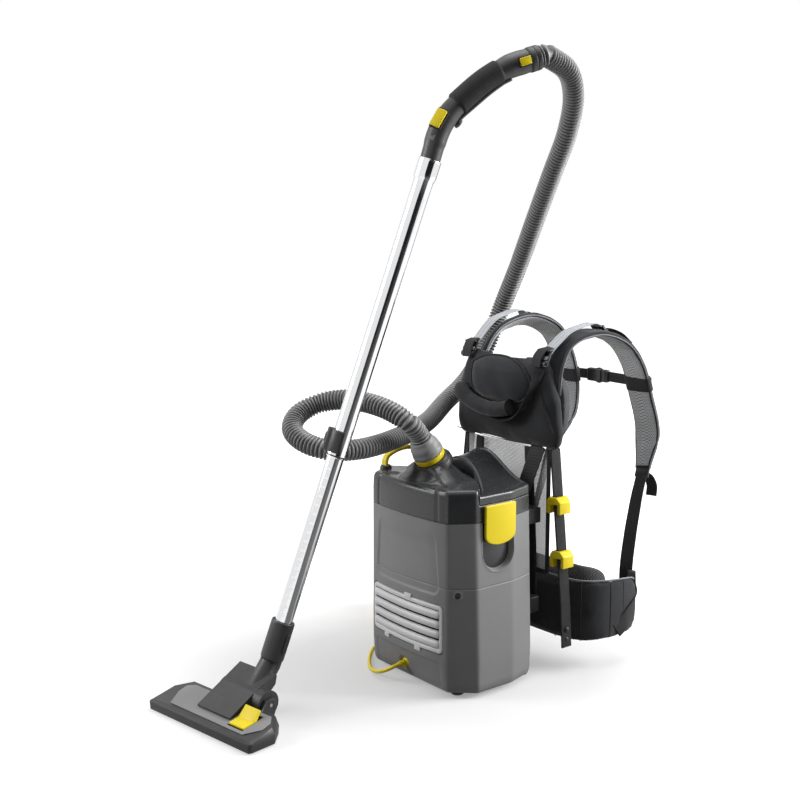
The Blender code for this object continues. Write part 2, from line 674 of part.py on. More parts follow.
def tube(root):
    """Telescopic wand: outer tube with a flared mouth, lock, lock button and inner tube."""
    wall, r = TUBE_WALL, OUTER_RADIUS
    flare = FLARE_RADIUS
    profile = [(flare, 0), (flare, -FLARE_LENGTH), (r, -FLARE_LENGTH - 0.006), (r, -OUTER_LENGTH),
               (r - wall, -OUTER_LENGTH), (r - wall, -FLARE_LENGTH - 0.006),
               (flare - wall, -FLARE_LENGTH), (flare - wall, 0)]
    add("outer_tube", turned(profile, 24), "chrome", root, wrap=True)
    inner = [(INNER_RADIUS, -INNER_START), (INNER_RADIUS, -INNER_END),
             (INNER_RADIUS - wall, -INNER_END), (INNER_RADIUS - wall, -INNER_START)]
    add("inner_tube", turned(inner, 24), "chrome", root, (0, 0, -INNER_START), wrap=True)
    bore = r + GAP
    saddle = r + 0.005
    body = [(saddle - 0.001, -LOCK_START), (saddle, -LOCK_START - 0.004), (saddle, -LOCK_END + 0.004),
            (saddle - 0.001, -LOCK_END), (bore, -LOCK_END), (bore, -LOCK_START)]
    lock = add("tube_lock", turned(body, 24), "black_plastic", root, wrap=True)
    join(lock, box((r + 0.0025, -0.0105, -LOCK_END + 0.003),
                   (r + 0.0115, 0.0105, -LOCK_START - 0.003)), "block")
    middle = -(LOCK_START + LOCK_END) / 2
    floor = r + 0.0067
    cut(lock, box((floor, -0.0072, middle - 0.014), (floor + 0.0078, 0.0072, middle + 0.014)), "pocket")
    button_low = floor + GAP
    shape = box((button_low, -0.0068, middle - 0.0080), (button_low + 0.0065, 0.0068, middle + 0.0080))
    add("tube_lock_slider", shape, "label_grey", root, (button_low, 0, middle))


def neck_sleeve(root):
    """Push-fit sleeve on the inner tube's lower end; the neck swivels in it."""
    step = -INNER_END - 0.004
    socket, stop = INNER_RADIUS + 0.0018, INNER_RADIUS - 0.0015
    profile = [(SLEEVE_RADIUS - 0.001, -SLEEVE_START), (SLEEVE_RADIUS, -SLEEVE_START - 0.004),
               (SLEEVE_RADIUS, -SLEEVE_END), (socket, -SLEEVE_END), (socket, step - 0.002),
               (stop, step - 0.002), (stop, step), (INNER_RADIUS + GAP, step),
               (INNER_RADIUS + GAP, -SLEEVE_START)]
    add("neck_sleeve", turned(profile, 24), "black_plastic", root, wrap=True)


# ---------------------------------------------------------------- floor tool

def tool_frame():
    """Frame of the floor tool, set so that its neck meets the wand's axis."""
    x_axis = Vector((math.cos(TOOL_HEADING), math.sin(TOOL_HEADING), 0))
    matrix = frame((0, 0, 0), x_axis, (0, 0, 1))
    joint = WAND_TOP - WAND_DIRECTION * SLEEVE_END
    matrix.translation = joint - matrix.to_3x3() @ NECK_JOINT
    matrix.translation.z = 0
    return matrix


def neck_axis():
    """Direction up the neck pipe, in the tool's frame."""
    return Vector((0, math.cos(NECK_LEAN), math.sin(NECK_LEAN)))


def barrel_centre():
    """Centre of the tilting barrel: on the neck pipe's axis at the barrel's height."""
    run = (NECK_JOINT.z - BARREL_Z) / math.sin(NECK_LEAN)
    return NECK_JOINT - neck_axis() * run


def barrel_rings(radius, left, right, sides=20):
    """A cylinder about the tilt axis."""
    middle = barrel_centre()
    matrix = frame((0, middle.y, middle.z), (0, 1, 0), (1, 0, 0))
    return turned([(radius, left), (radius, right)], sides, matrix=matrix)


def swivel_neck(root, wand_up):
    """Bent neck: a stub that turns in the sleeve, the pipe, and the tilting barrel with its cover."""
    top = NECK_JOINT
    middle = barrel_centre()
    across = Vector((1, 0, 0))
    stub = [top + wand_up * 0.026, top - wand_up * 0.0004]
    body = swept(stub, round_section(INNER_RADIUS + 0.0012, 16), across)
    start = top - wand_up * 0.0004
    path = [start, start - wand_up * 0.010, middle]
    body += swept(path, round_section(INNER_RADIUS + 0.0040, 16), across)
    neck = add("swivel_neck", body, "black_plastic", root, top)
    join(neck, barrel_rings(BARREL_RADIUS, BARREL_LEFT, BARREL_RIGHT), "barrel")
    tip = 0.030
    under = TOOL_FRONT + TOOL_SLOPE * tip + 0.0030
    profile = [(tip, under), (0.080, under + TOOL_SLOPE * 0.050), (middle.y + 0.004, middle.z - 0.004),
               (0.136, 0.062), (0.140, 0.078), (0.130, 0.084), (tip, under + 0.003)]
    join(neck, extrude(profile, -0.035, 0.055, 0), "cover")
    cut(neck, barrel_rings(0.0045, BARREL_LEFT - 0.01, BARREL_RIGHT + 0.01, 12), "pin_bore")


def tool_outline(inset=0.0):
    """Plan outline of the floor tool."""
    h, d = TOOL_HALF, TOOL_DEPTH
    points = [(-h + 0.004, 0.0), (h - 0.004, 0.0), (h, 0.006), (h, 0.058), (h - 0.026, d),
              (-h + 0.026, d), (-h, 0.058), (-h, 0.006)]
    return inset_outline(points, inset)


def tool_top(y):
    """Height of the tool's sloping top."""
    return TOOL_FRONT + TOOL_SLOPE * y


def nozzle_body(root):
    """Floor tool body with its suction channel, brush slot, pedal pocket and two ears."""
    rings = [[(x, y, 0.0025) for x, y in tool_outline(0.001)], [(x, y, 0.018) for x, y in tool_outline()],
             [(x, y, tool_top(y)) for x, y in tool_outline(0.006)]]
    middle = barrel_centre()
    body = add("nozzle_body", rings, "black_plastic", root, (0, middle.y, middle.z))
    for label, low, high in (("ear_left", BARREL_LEFT - 0.0085, BARREL_LEFT - 0.0008),
                             ("ear_right", BARREL_RIGHT + 0.0008, BARREL_RIGHT + 0.0085)):
        back = middle.y + 0.012
        profile = [(0.078, 0.012), (back - 0.006, 0.022), (back, 0.034), (back, 0.048),
                   (back - 0.006, 0.054), (0.090, 0.052), (0.078, 0.034)]
        join(body, extrude(profile, low, high, 0), label)
    cut(body, barrel_rings(BARREL_RADIUS + 0.0012, BARREL_LEFT - 0.0008, BARREL_RIGHT + 0.0008),
        "barrel_bay")
    cut(body, barrel_rings(0.0036, BARREL_LEFT - 0.02, BARREL_RIGHT + 0.02, 12), "pin_hole")
    cut(body, box((-0.115, 0.024, -0.01), (0.115, 0.050, 0.014)), "channel")
    cut(body, box((-0.126, 0.0080, -0.01), (0.126, 0.0150, 0.0135)), "brush_slot")
    cut(body, box((PEDAL_LEFT, 0.020, 0.0165), (PEDAL_RIGHT, 0.068, 0.08)), "pedal_pocket")
    return body


def tool_pieces(root):
    """Top plate, hinge pin, pedal and brush strip of the floor tool."""
    plan = [(-0.092, 0.013), (0.108, 0.013), (0.128, 0.040), (0.126, 0.062), (0.112, 0.076),
            (-0.098, 0.076), (-0.112, 0.066), (-0.110, 0.045)]
    lift = GAP
    rings = [[(x, y, tool_top(y) + lift) for x, y in plan], [(x, y, tool_top(y) + lift + 0.0015) for x,
                                                             y in plan]]
    plate = add("nozzle_top_plate", rings, "label_grey", root)
    cut(plate, barrel_rings(BARREL_RADIUS + 0.0012, BARREL_LEFT - 0.0095, BARREL_RIGHT + 0.0095), "bay")
    cut(plate, box((PEDAL_LEFT, 0.020, 0.0), (PEDAL_RIGHT, 0.068, 0.08)), "pocket")
    add("neck_hinge_pin", barrel_rings(0.0033, BARREL_LEFT - 0.008, BARREL_RIGHT + 0.008, 12),
        "motor_metal", root)
    profile = [(0.0230, 0.0255), (0.044, 0.0185), (0.049, 0.0230), (0.0635, 0.0475), (0.0615, 0.0500),
               (0.0445, 0.0330), (0.0230, 0.0290)]
    add("nozzle_pedal", extrude(profile, PEDAL_LEFT + 0.0008, PEDAL_RIGHT - 0.0008, 0), "signal_yellow",
        root, ((PEDAL_LEFT + PEDAL_RIGHT) / 2, 0.0445, 0.0270))
    add("brush_strip", box((-0.125, 0.0086, 0.0040), (0.125, 0.0144, 0.0130)), "bristle", root)


# ---------------------------------------------------------------- harness

def frame_bars(root):
    """Four upright bars and the two cross members that the machine is screwed to."""
    outer = [(x, BACK_Y, z) for x, z in OUTER_BAR]
    section = flat_section(BAR_WIDTH, BAR_THICK)
    for name, points in (("frame_bar_right", outer), ("frame_bar_left", mirrored(outer))):
        add(name, swept(spline(points, 10), section, Vector((0, 1, 0))), "black_plastic", root)
    inner = [(0.088, 0.2455, 0.110), (0.085, 0.2455, 0.250), (0.070, 0.2455, YOKE_LOW - 0.001)]
    for name, points in (("inner_bar_right", inner), ("inner_bar_left", mirrored(inner))):
        add(name, swept(spline(points, 6), flat_section(0.022, BAR_THICK), Vector((1, 0, 0))),
            "black_plastic", root)
    front = DEPTH + 0.0008
    for name, z in (("carrier_lower", 0.120), ("carrier_upper", 0.300)):
        add(name, box((-0.110, front, z), (0.110, 0.2425, z + 0.030)), "black_plastic", root)


def cord_clips(root):
    """Two hooks pushed onto the right-hand bar from the front, open downwards, that hold the coiled cord."""
    hook = [(-0.0155, -0.024), (-0.0155, 0.001), (-0.009, 0.009), (0.011, 0.010), (0.021, 0.001),
            (0.021, -0.022), (0.014, -0.022), (0.014, -0.004), (-0.0075, -0.006), (-0.0075, -0.024)]
    bar_front = BACK_Y - BAR_WIDTH / 2 - GAP
    for name, x, z in (("cord_clip_lower", 0.1475, 0.239), ("cord_clip_upper", 0.1355, 0.344)):
        flat = [[(x + px, y, z + pz) for px, pz in hook] for y in (bar_front - 0.004, BACK_Y + 0.012)]
        clip = add(name, flat, "signal_yellow", root)
        cut(clip, box((x - 0.0048, bar_front, z - 0.03), (x + 0.0048, BACK_Y + 0.03, z + 0.02)), "bar_slot")


def yoke(root):
    """Padded yoke above the frame, with the raised hump in its middle, and the carry roll."""
    stations = [(YOKE_LOW, 0.146, 0.242, 0.288), (0.475, 0.150, 0.238, 0.292), (0.540, 0.143, 0.234, 0.290),
                (0.600, 0.122, 0.236, 0.286), (0.622, 0.110, 0.242, 0.282), (0.640, 0.060, 0.248, 0.276)]
    rings = []
    for z, half, front, back in stations:
        c = 0.012
        rings.append([(-half + c, front, z), (half - c, front, z), (half, front + c, z), (half, back - c, z),
                      (half - c, back, z), (-half + c, back, z), (-half, back - c, z),
                      (-half, front + c, z)])
    add("yoke_pad", rings, "fabric_dark", root)
    sag = [(-0.105, 0.2190, 0.540), (-0.070, 0.2165, 0.522), (-0.020, 0.2165, 0.512),
           (0.030, 0.2165, 0.517), (0.068, 0.2190, 0.532)]
    add("carry_roll", swept(spline(sag, 9), round_section(0.0145, 10), Vector((0, 0, 1))),
        "fabric_dark", root)


RIGHT_STRAP = [(0.080, 0.3030, 0.545), (0.086, 0.314, 0.605), (0.094, 0.345, 0.642), (0.100, 0.400, 0.655),
               (0.098, 0.470, 0.634), (0.095, 0.518, 0.585), (0.095, 0.545, 0.520), (0.105, 0.558, 0.445),
               (0.118, 0.532, 0.366)]
LEFT_STRAP = [(-0.080, 0.3030, 0.545), (-0.086, 0.316, 0.612), (-0.094, 0.350, 0.652),
              (-0.100, 0.410, 0.670),
              (-0.100, 0.475, 0.645), (-0.100, 0.512, 0.590), (-0.100, 0.530, 0.530), (-0.101, 0.528, 0.465),
              (-0.106, 0.495, 0.400)]
RIGHT_WEB = [(0.119, 0.527, 0.362), (0.128, 0.500, 0.305), (0.138, 0.474, 0.240), (0.144, 0.458, 0.180),
             (0.146, 0.455, 0.140)]
LEFT_WEB = [(-0.107, 0.491, 0.396), (-0.116, 0.474, 0.320), (-0.130, 0.462, 0.240), (-0.142, 0.456, 0.180),
            (-0.146, 0.455, 0.140)]


def straps(root):
    """Shoulder pads, load-lifter straps, lower webbings and the two halves of the chest strap."""
    across = Vector((1, 0, 0))
    for side, pad, web in (("right", RIGHT_STRAP, RIGHT_WEB), ("left", LEFT_STRAP, LEFT_WEB)):
        line = spline(pad, 20)
        add(f"shoulder_strap_{side}", swept(line, flat_section(0.060, 0.014), across), "fabric_dark", root)
        tail = spline(web, 10)
        add(f"lower_webbing_{side}", swept(tail, flat_section(0.026, 0.003), across), "fabric_dark", root)
    lifter = [(0.104, 0.258, 0.632), (0.107, 0.290, 0.662), (0.110, 0.330, 0.684), (0.112, 0.375, 0.694),
              (0.110, 0.420, 0.686)]
    for name, points in (("load_lifter_right", lifter), ("load_lifter_left", mirrored(lifter))):
        add(name, swept(spline(points, 9), flat_section(0.026, 0.003), across), "webbing_light", root)
    level, front, clip = 0.545, 0.5620, CHEST_CLIP_X
    half = box((clip + 0.022, front, level - 0.011), (0.128, front + 0.003, level + 0.011))
    add("chest_strap_right", half, "fabric_dark", root)
    left = box((-0.128, front, level - 0.011), (clip - 0.024, front + 0.003, level + 0.011))
    socket = add("chest_strap_left", left, "fabric_dark", root)
    shell = box((clip - 0.026, front - 0.004, level - 0.014), (clip + 0.014, front + 0.008, level + 0.014))
    join(socket, shell, "socket")
    mouth = box((clip - 0.006, front - 0.0012, level - 0.0115), (clip + 0.020, front + 0.0052, level + 0.0115))
    cut(socket, mouth, "mouth")
    tongue = box((clip - 0.002, front - 0.0005, level - 0.0105), (clip + 0.030, front + 0.0045, level + 0.0105))
    join(bpy.data.objects["chest_strap_right"], tongue, "tongue")


def belt_section(height):
    """The belt's cross-section: tall, 20 mm thick, with cut corners."""
    h, t, c = height / 2, BELT_THICK / 2, 0.005
    return [(-h, -t + c), (-h + c, -t), (h - c, -t), (h, -t + c), (h, t - c), (h - c, t),
            (-h + c, t), (-h, t - c)]


def belt(root):
    """Hip belt with its two wings, and the see-through mesh that the wearer leans on."""
    half = [(0.186, 0.435), (0.190, 0.385), (0.182, 0.335), (0.160, 0.303), (0.125, 0.2930), (0.060, 0.2900)]
    plan = half + [(-x, y) for x, y in half[::-1]]
    points = spline([(x, y, (BELT_LOW + BELT_HIGH) / 2) for x, y in plan], 28)
    rings = swept(points, lambda t: belt_section((BELT_HIGH - BELT_LOW) * (1 - 0.18 * abs(2 * t - 1) ** 3)),
                  Vector((0, 0, 1)))
    add("hip_belt", rings, "fabric_dark", root)
    add("back_mesh", box((-0.120, 0.2520, 0.196), (0.120, 0.2550, YOKE_LOW - 0.0006)), "mesh_light", root)


# ---------------------------------------------------------------- mains cord

CORD_ROUTE = [(-0.012, -0.029, 0.031), (-0.030, -0.035, 0.020), (-0.056, -0.034, 0.010),
              (-0.086, -0.025, 0.0045), (-0.115, -0.008, 0.0042), (-0.145, 0.017, 0.0042),
              (-0.174, 0.048, 0.0042), (-0.193, 0.090, 0.0042), (-0.199, 0.140, 0.0042),
              (-0.199, 0.195, 0.0042)]


def mains_cord(root):
    """Gland in the front face, the free stretch of cord, the coil on the floor and the plug."""
    matrix = frame(CORD_HOLE + Vector((0, -0.0125, 0)), (1, 0, 0), (0, 1, 0))
    bore = CORD_RADIUS + 0.0009
    profile = [(0.0110, 0.0), (0.0110, 0.0045), (0.0080, 0.0048), (0.0080, 0.022), (bore, 0.022),
               (bore, 0.0)]
    add("cord_gland", turned(profile, 16, matrix=matrix), "soft_black", root, wrap=True)
    first = [CORD_HOLE + Vector((0, 0.005, 0)), CORD_HOLE + Vector((0, -0.016, 0))]
    outside = COIL_MIDDLE + COIL_BAND / 2
    last = COIL_CENTRE + Vector((outside + CORD_RADIUS + 2 * GAP, 0, CORD_RADIUS + 0.0005))
    cord("mains_cord", spline(first + [Vector(p) for p in CORD_ROUTE] + [last], 40), CORD_RADIUS,
         "signal_yellow", root)
    inside, c = COIL_MIDDLE - COIL_BAND / 2, 0.006
    ring = [(inside + c, 0.0002), (outside - c, 0.0002), (outside, c), (outside, COIL_BAND - c),
            (outside - c, COIL_BAND), (inside + c, COIL_BAND), (inside, COIL_BAND - c), (inside, c)]
    add("mains_cord_coil", turned(ring, 24, COIL_CENTRE), "signal_yellow", root, wrap=True)
    plug(root)


def plug(root):
    """Two-pin mains plug that lies on the coil."""
    radius = 0.0180
    spot = COIL_CENTRE + Vector((-COIL_MIDDLE, 0.030, COIL_BAND + GAP + radius))
    matrix = frame(spot, (0, 0, 1), (0, -1, 0))
    profile = [(0.0045, 0), (0.0055, 0.018), (0.0150, 0.024), (radius, 0.030), (radius, 0.048),
               (0.0165, 0.052)]
    body = add("mains_plug", turned(profile, 16, matrix=matrix), "soft_black", root)
    for label, offset in (("pin_left", -0.0095), ("pin_right", 0.0095)):
        join(body, turned([(0.0024, 0.045), (0.0024, 0.069), (0.0018, 0.071)], 10, (0, offset, 0), matrix),
             label)


def centre_on_footprint(root):
    """Shift the assembly so that the middle of its footprint, cords left out, is the origin."""
    bpy.context.view_layer.update()
    depsgraph = bpy.context.evaluated_depsgraph_get()
    corners = []
    for item in bpy.data.objects:
        if item.type == "MESH" and not item.hide_render and item.name not in CORD_NODES:
            solid = item.evaluated_get(depsgraph)
            corners += [item.matrix_world @ vertex.co for vertex in solid.data.vertices]
    spots = np.array([tuple(p) for p in corners])
    middle = (spots.min(axis=0) + spots.max(axis=0)) / 2
    root.location = (-middle[0], -middle[1], 0)


def build():
    """Model the whole machine, then centre it."""
    for old in list(bpy.data.objects):
        bpy.data.objects.remove(old)
    root = empty("assembly")
    lower_housing(root)
    upper_housing(root)
    base_plate(root)
    exhaust_grille(root)
    exhaust_filter(root)
    motor(root)
    filters(root)
    lid(root)
    lid_gasket(root)
    rear_cowl(root)
    carry_handle(root)
    latches(root)
    inlet(root)
    suction_hose(root)
    handle(root)
    wand = empty("wand_axis", root, matrix=frame(WAND_TOP, (-0.62, -0.785, 0), WAND_DIRECTION))
    tube(wand)
    neck_sleeve(wand)
    tool_matrix = tool_frame()
    tool = empty("floor_tool", root, matrix=tool_matrix)
    swivel_neck(tool, tool_matrix.to_3x3().inverted() @ WAND_DIRECTION)
    nozzle_body(tool)
    tool_pieces(tool)
    frame_bars(root)
    cord_clips(root)
    yoke(root)
    straps(root)
    belt(root)
    mains_cord(root)
    centre_on_footprint(root)


build()
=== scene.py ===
"""Backpack vacuum cleaner: looks, soft goods, cords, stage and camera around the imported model."""
import json
import math

import bmesh
import bpy
import numpy as np
from bpy.props import FloatProperty, FloatVectorProperty, IntProperty, PointerProperty
from mathutils import Matrix, Vector

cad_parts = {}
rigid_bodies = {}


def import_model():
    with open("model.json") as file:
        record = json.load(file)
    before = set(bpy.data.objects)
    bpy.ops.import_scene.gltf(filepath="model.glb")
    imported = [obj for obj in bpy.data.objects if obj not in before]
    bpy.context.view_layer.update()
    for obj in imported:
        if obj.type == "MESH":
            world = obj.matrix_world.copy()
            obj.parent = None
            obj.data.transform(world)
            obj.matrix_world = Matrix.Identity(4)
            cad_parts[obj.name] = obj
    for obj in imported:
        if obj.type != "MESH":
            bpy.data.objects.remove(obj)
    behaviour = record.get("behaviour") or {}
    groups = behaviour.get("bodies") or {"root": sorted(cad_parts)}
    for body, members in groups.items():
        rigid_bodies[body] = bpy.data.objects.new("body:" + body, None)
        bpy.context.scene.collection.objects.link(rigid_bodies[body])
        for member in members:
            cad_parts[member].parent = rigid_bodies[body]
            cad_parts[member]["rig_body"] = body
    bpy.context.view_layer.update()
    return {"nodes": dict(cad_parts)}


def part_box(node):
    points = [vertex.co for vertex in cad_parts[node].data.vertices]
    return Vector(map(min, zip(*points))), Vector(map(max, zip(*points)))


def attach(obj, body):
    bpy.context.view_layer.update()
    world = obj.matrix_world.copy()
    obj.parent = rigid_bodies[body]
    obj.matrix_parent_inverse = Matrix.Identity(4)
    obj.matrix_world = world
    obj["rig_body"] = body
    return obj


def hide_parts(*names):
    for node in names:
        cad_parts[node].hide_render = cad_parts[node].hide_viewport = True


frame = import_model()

bl_info = {
    "name": "Backpack Vacuum Cleaner",
    "version": (1, 0, 0),
    "blender": (4, 5, 0),
    "location": "View3D > Sidebar > Vacuum",
    "description": "Finishes, soft goods, hose and cord of a backpack vacuum cleaner",
    "category": "Object",
}

# Sizes of the machine in its own frame: X to the wearer's right, Y to the back, Z up, in metres.
HALF_WIDTH, FRONT_HALF, BACK_HALF = 0.155, 0.112, 0.139
FRONT_CHAMFER, SIDE_END, DEPTH = 0.046, 0.135, 0.197
TAPER, FRONT_BOW = 0.013, 0.010
BASE_Z, SEAM_Z, LID_Z, RIM_Z, LID_TOP = 0.008, 0.212, 0.335, 0.368, 0.397
GRILLE_HALF, GRILLE_LOW, GRILLE_HIGH = 0.105, 0.083, 0.177
LATCH_FRONT, LATCH_REAR, LATCH_LOW, LATCH_HIGH = 0.063, 0.138, 0.290, 0.3665
INLET, INLET_LEAN = np.array((0.0, 0.057, 0.431)), math.radians(32)
HOSE_RADIUS = 0.020
WAND_TOP = np.array((0.082, -0.018, 0.989))
WAND_UP = np.array((0.133, 0.283, 0.950)) / np.linalg.norm((0.133, 0.283, 0.950))
OUTER_RADIUS, INNER_RADIUS = 0.0175, 0.016
CORD_HOLE = np.array((-0.010, 0.0, 0.034))
COIL_CENTRE, COIL_MIDDLE = np.array((-0.290, 0.262, 0.0)), 0.0665


def corners(node):
    """Lowest and highest corner of a CAD node as arrays."""
    low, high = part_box(node)
    return np.array(low), np.array(high)


SHELL_LOW, SHELL_HIGH = corners("lower_housing")
ORIGIN = np.array(((SHELL_LOW[0] + SHELL_HIGH[0]) / 2, SHELL_LOW[1] + FRONT_BOW, 0.0))


# ---------------------------------------------------------------- settings

def colour_setting(name, default, description):
    """A colour property."""
    return FloatVectorProperty(name=name, description=description, subtype="COLOR", size=3,
                               default=default, min=0.0, max=1.0)


def length_setting(name, default, description):
    """A length property in metres."""
    return FloatProperty(name=name, description=description, default=default, min=0.0,
                         subtype="DISTANCE", unit="LENGTH", precision=4)


class VACUUM_PG_colours(bpy.types.PropertyGroup):
    """Colours of the moulded, woven and metal finishes."""
    housing: colour_setting("Housing", (0.235, 0.235, 0.240), "Grained grey of the machine's two shells")
    lid: colour_setting("Lid", (0.030, 0.031, 0.033), "Satin anthracite of the lid and cowl")
    black: colour_setting("Black plastic", (0.020, 0.020, 0.021), "Frame bars, tool body and buckles")
    rubber: colour_setting("Soft black", (0.014, 0.014, 0.014), "Grip, gaskets and plug")
    signal: colour_setting("Signal yellow", (0.980, 0.770, 0.004), "Latches, hooks, carry handle and pedal")
    silver: colour_setting("Grille silver", (0.800, 0.800, 0.805), "Painted exhaust grille")
    hose: colour_setting("Hose", (0.320, 0.320, 0.322), "Corrugated suction hose and its cuff")
    handle: colour_setting("Handle grey", (0.050, 0.050, 0.053), "Handle pipe")
    plate: colour_setting("Plate grey", (0.260, 0.260, 0.265), "Top plate of the floor tool")
    cloth: colour_setting("Cloth", (0.030, 0.031, 0.034), "Woven cloth of the harness")
    webbing: colour_setting("Light webbing", (0.600, 0.625, 0.660), "Load lifters")
    trim: colour_setting("Trim", (0.270, 0.280, 0.300), "Piping on the straps and the belt")
    spacer: colour_setting("Spacer mesh", (0.780, 0.785, 0.800), "Ventilated mesh of the straps and back")
    chrome: colour_setting("Chrome", (0.780, 0.785, 0.795), "Plated wand tubes")


class VACUUM_PG_sizes(bpy.types.PropertyGroup):
    """Sizes of repeated and applied details."""
    hose_pitch: length_setting("Hose pitch", 0.0072, "Distance from one hose ridge to the next")
    hose_groove: length_setting("Hose groove", 0.0042, "Depth of the valley between two ridges")
    cord_diameter: length_setting("Cord diameter", 0.0074, "Outside diameter of the mains cord")
    cord_length: length_setting("Cord length", 15.0, "Whole length of the mains cord")
    housing_soften: length_setting("Corner softening", 0.0075,
                                   "Reach of the rounding on the shell's upright edges")
    strap_width: length_setting("Strap width", 0.060, "Width of a padded shoulder strap")
    strap_thick: length_setting("Strap thickness", 0.014, "Thickness of a padded shoulder strap")
    webbing_width: length_setting("Webbing width", 0.025, "Width of the woven webbing")
    weave_pitch: length_setting("Weave pitch", 0.0016, "Distance between two threads of the cloth")
    grille_ribs: IntProperty(name="Grille ribs", description="Number of round ribs in the exhaust grille",
                             default=4, min=2, max=9)


# ---------------------------------------------------------------- curves and grids

def ramp(value, low, high):
    """Smooth step: 0 below low, 1 above high, and 3t^2 - 2t^3 between."""
    t = np.clip((np.asarray(value, float) - low) / (high - low), 0.0, 1.0)
    return t * t * (3.0 - 2.0 * t)


def smooth_path(points, count):
    """Centripetal cubic through the points, then read off at equal steps of its length."""
    p = np.asarray(points, float)
    p = np.vstack([2 * p[0] - p[1], p, 2 * p[-1] - p[-2]])
    a, b, c, d = p[:-3], p[1:-2], p[2:-1], p[3:]
    ab, bc, cd = (np.sqrt(np.linalg.norm(v - u, axis=1))[:, None] for u, v in ((a, b), (b, c), (c, d)))
    out = ((b - a) / ab - (c - a) / (ab + bc) + (c - b) / bc) * bc
    into = ((c - b) / bc - (d - b) / (bc + cd) + (d - c) / cd) * bc
    t = np.linspace(0.0, 1.0, 25)[:-1][:, None, None]
    dense = (b * (2 * t ** 3 - 3 * t ** 2 + 1) + c * (3 * t ** 2 - 2 * t ** 3)
             + out * (t ** 3 - 2 * t ** 2 + t) + into * (t ** 3 - t ** 2))
    dense = np.vstack([dense.transpose(1, 0, 2).reshape(-1, p.shape[1]), p[-2]])
    return even_path(dense, count)


def even_path(points, count):
    """The same polyline read off at equal steps of its length."""
    points = np.asarray(points, float)
    along = np.concatenate(([0.0], np.cumsum(np.linalg.norm(np.diff(points, axis=0), axis=1))))
    even = np.linspace(0.0, along[-1], count)
    return np.stack([np.interp(even, along, points[:, k]) for k in range(points.shape[1])], axis=1)


def path_length(points):
    """Sum of the steps of a polyline."""
    return float(np.linalg.norm(np.diff(points, axis=0), axis=1).sum())


def headings(path):
    """Unit tangent at each station: the central difference, made unit length."""
    step = np.gradient(path, axis=0)
    return step / np.linalg.norm(step, axis=1)[:, None]


def fixed_sides(path, across):
    """Side and out vectors: across with its share along the path removed, and its cross product with the
    path."""
    ahead = headings(path)
    across = np.broadcast_to(np.asarray(across, float), ahead.shape)
    wide = across - ahead * (across * ahead).sum(1)[:, None]
    wide /= np.linalg.norm(wide, axis=1)[:, None]
    return wide, np.cross(wide, ahead)


def carried_sides(path):
    """Side and out vectors carried from station to station with no twist: each is the last one with its
    share along
    the new tangent removed."""
    ahead = headings(path)
    side = np.cross(ahead[0], (0.31, 0.17, 0.93))
    sides = np.empty_like(ahead)
    for i, direction in enumerate(ahead):
        side = side - direction * side.dot(direction)
        side = side / np.linalg.norm(side)
        sides[i] = side
    return sides, np.cross(sides, ahead)


def sweep(path, section, sides):
    """Grid of points: each station plus side * a + out * b for every pair (a, b) of the section there."""
    wide, out = sides
    section = np.broadcast_to(section, (len(path),) + np.shape(section)[-2:])
    return path[:, None, :] + wide[:, None, :] * section[..., 0:1] + out[:, None, :] * section[..., 1:2]


def circle(radius, count):
    """Circular section; radius may be one number or one for each station."""
    angle = np.linspace(0.0, 2 * math.pi, count, endpoint=False)
    unit = np.stack([np.cos(angle), np.sin(angle)], axis=1)
    return np.asarray(radius, float).reshape(-1, 1, 1) * unit


def oval(half_width, half_thick, count, power=0.55):
    """Superellipse section: half sizes times the signed power of cosine and sine. Half sizes may vary by
    station."""
    angle = np.linspace(0.0, 2 * math.pi, count, endpoint=False)
    c, s = np.cos(angle), np.sin(angle)
    unit = np.stack([np.sign(c) * np.abs(c) ** power, np.sign(s) * np.abs(s) ** power], axis=1)
    size = np.stack([np.broadcast_to(np.ravel(v), (max(np.size(half_width), np.size(half_thick)),))
                     for v in (half_width, half_thick)], axis=1)
    return size[:, None, :] * unit


def lathe(profile, frame_matrix, count=48):
    """Grid of a profile of (radius, height) turned about the Z axis of a frame."""
    profile = np.asarray(profile, float)
    angle = np.linspace(0.0, 2 * math.pi, count, endpoint=False)
    local = np.stack([profile[:, 0:1] * np.cos(angle), profile[:, 0:1] * np.sin(angle),
                      np.broadcast_to(profile[:, 1:2], (len(profile), count))], axis=-1)
    return placed(local, frame_matrix)


def placed(points, matrix):
    """Points in a local frame, carried to the machine's frame: rotation times point plus place."""
    m = np.array(matrix)
    return points @ m[:3, :3].T + m[:3, 3]


def axes(origin, x_axis, z_axis):
    """Frame from an origin, a rough X direction and an exact Z direction."""
    z = np.asarray(z_axis, float) / np.linalg.norm(z_axis)
    x = np.asarray(x_axis, float) - z * np.dot(x_axis, z)
    x /= np.linalg.norm(x)
    m = np.eye(4)
    m[:3, 0], m[:3, 1], m[:3, 2], m[:3, 3] = x, np.cross(z, x), z, origin
    return m


def rounded(profile, steps=4, share=0.35):
    """Profile with each inner corner replaced by a short quadratic curve that starts and ends part way
    along its
    two sides."""
    profile = np.asarray(profile, float)
    before, here, after = profile[:-2], profile[1:-1], profile[2:]
    start, end = here + (before - here) * share, here + (after - here) * share
    t = np.linspace(0.0, 1.0, steps)[:, None, None]
    curve = start * (1 - t) ** 2 + here * 2 * t * (1 - t) + end * t ** 2
    return np.vstack([profile[:1], curve.transpose(1, 0, 2).reshape(-1, profile.shape[1]), profile[-1:]])


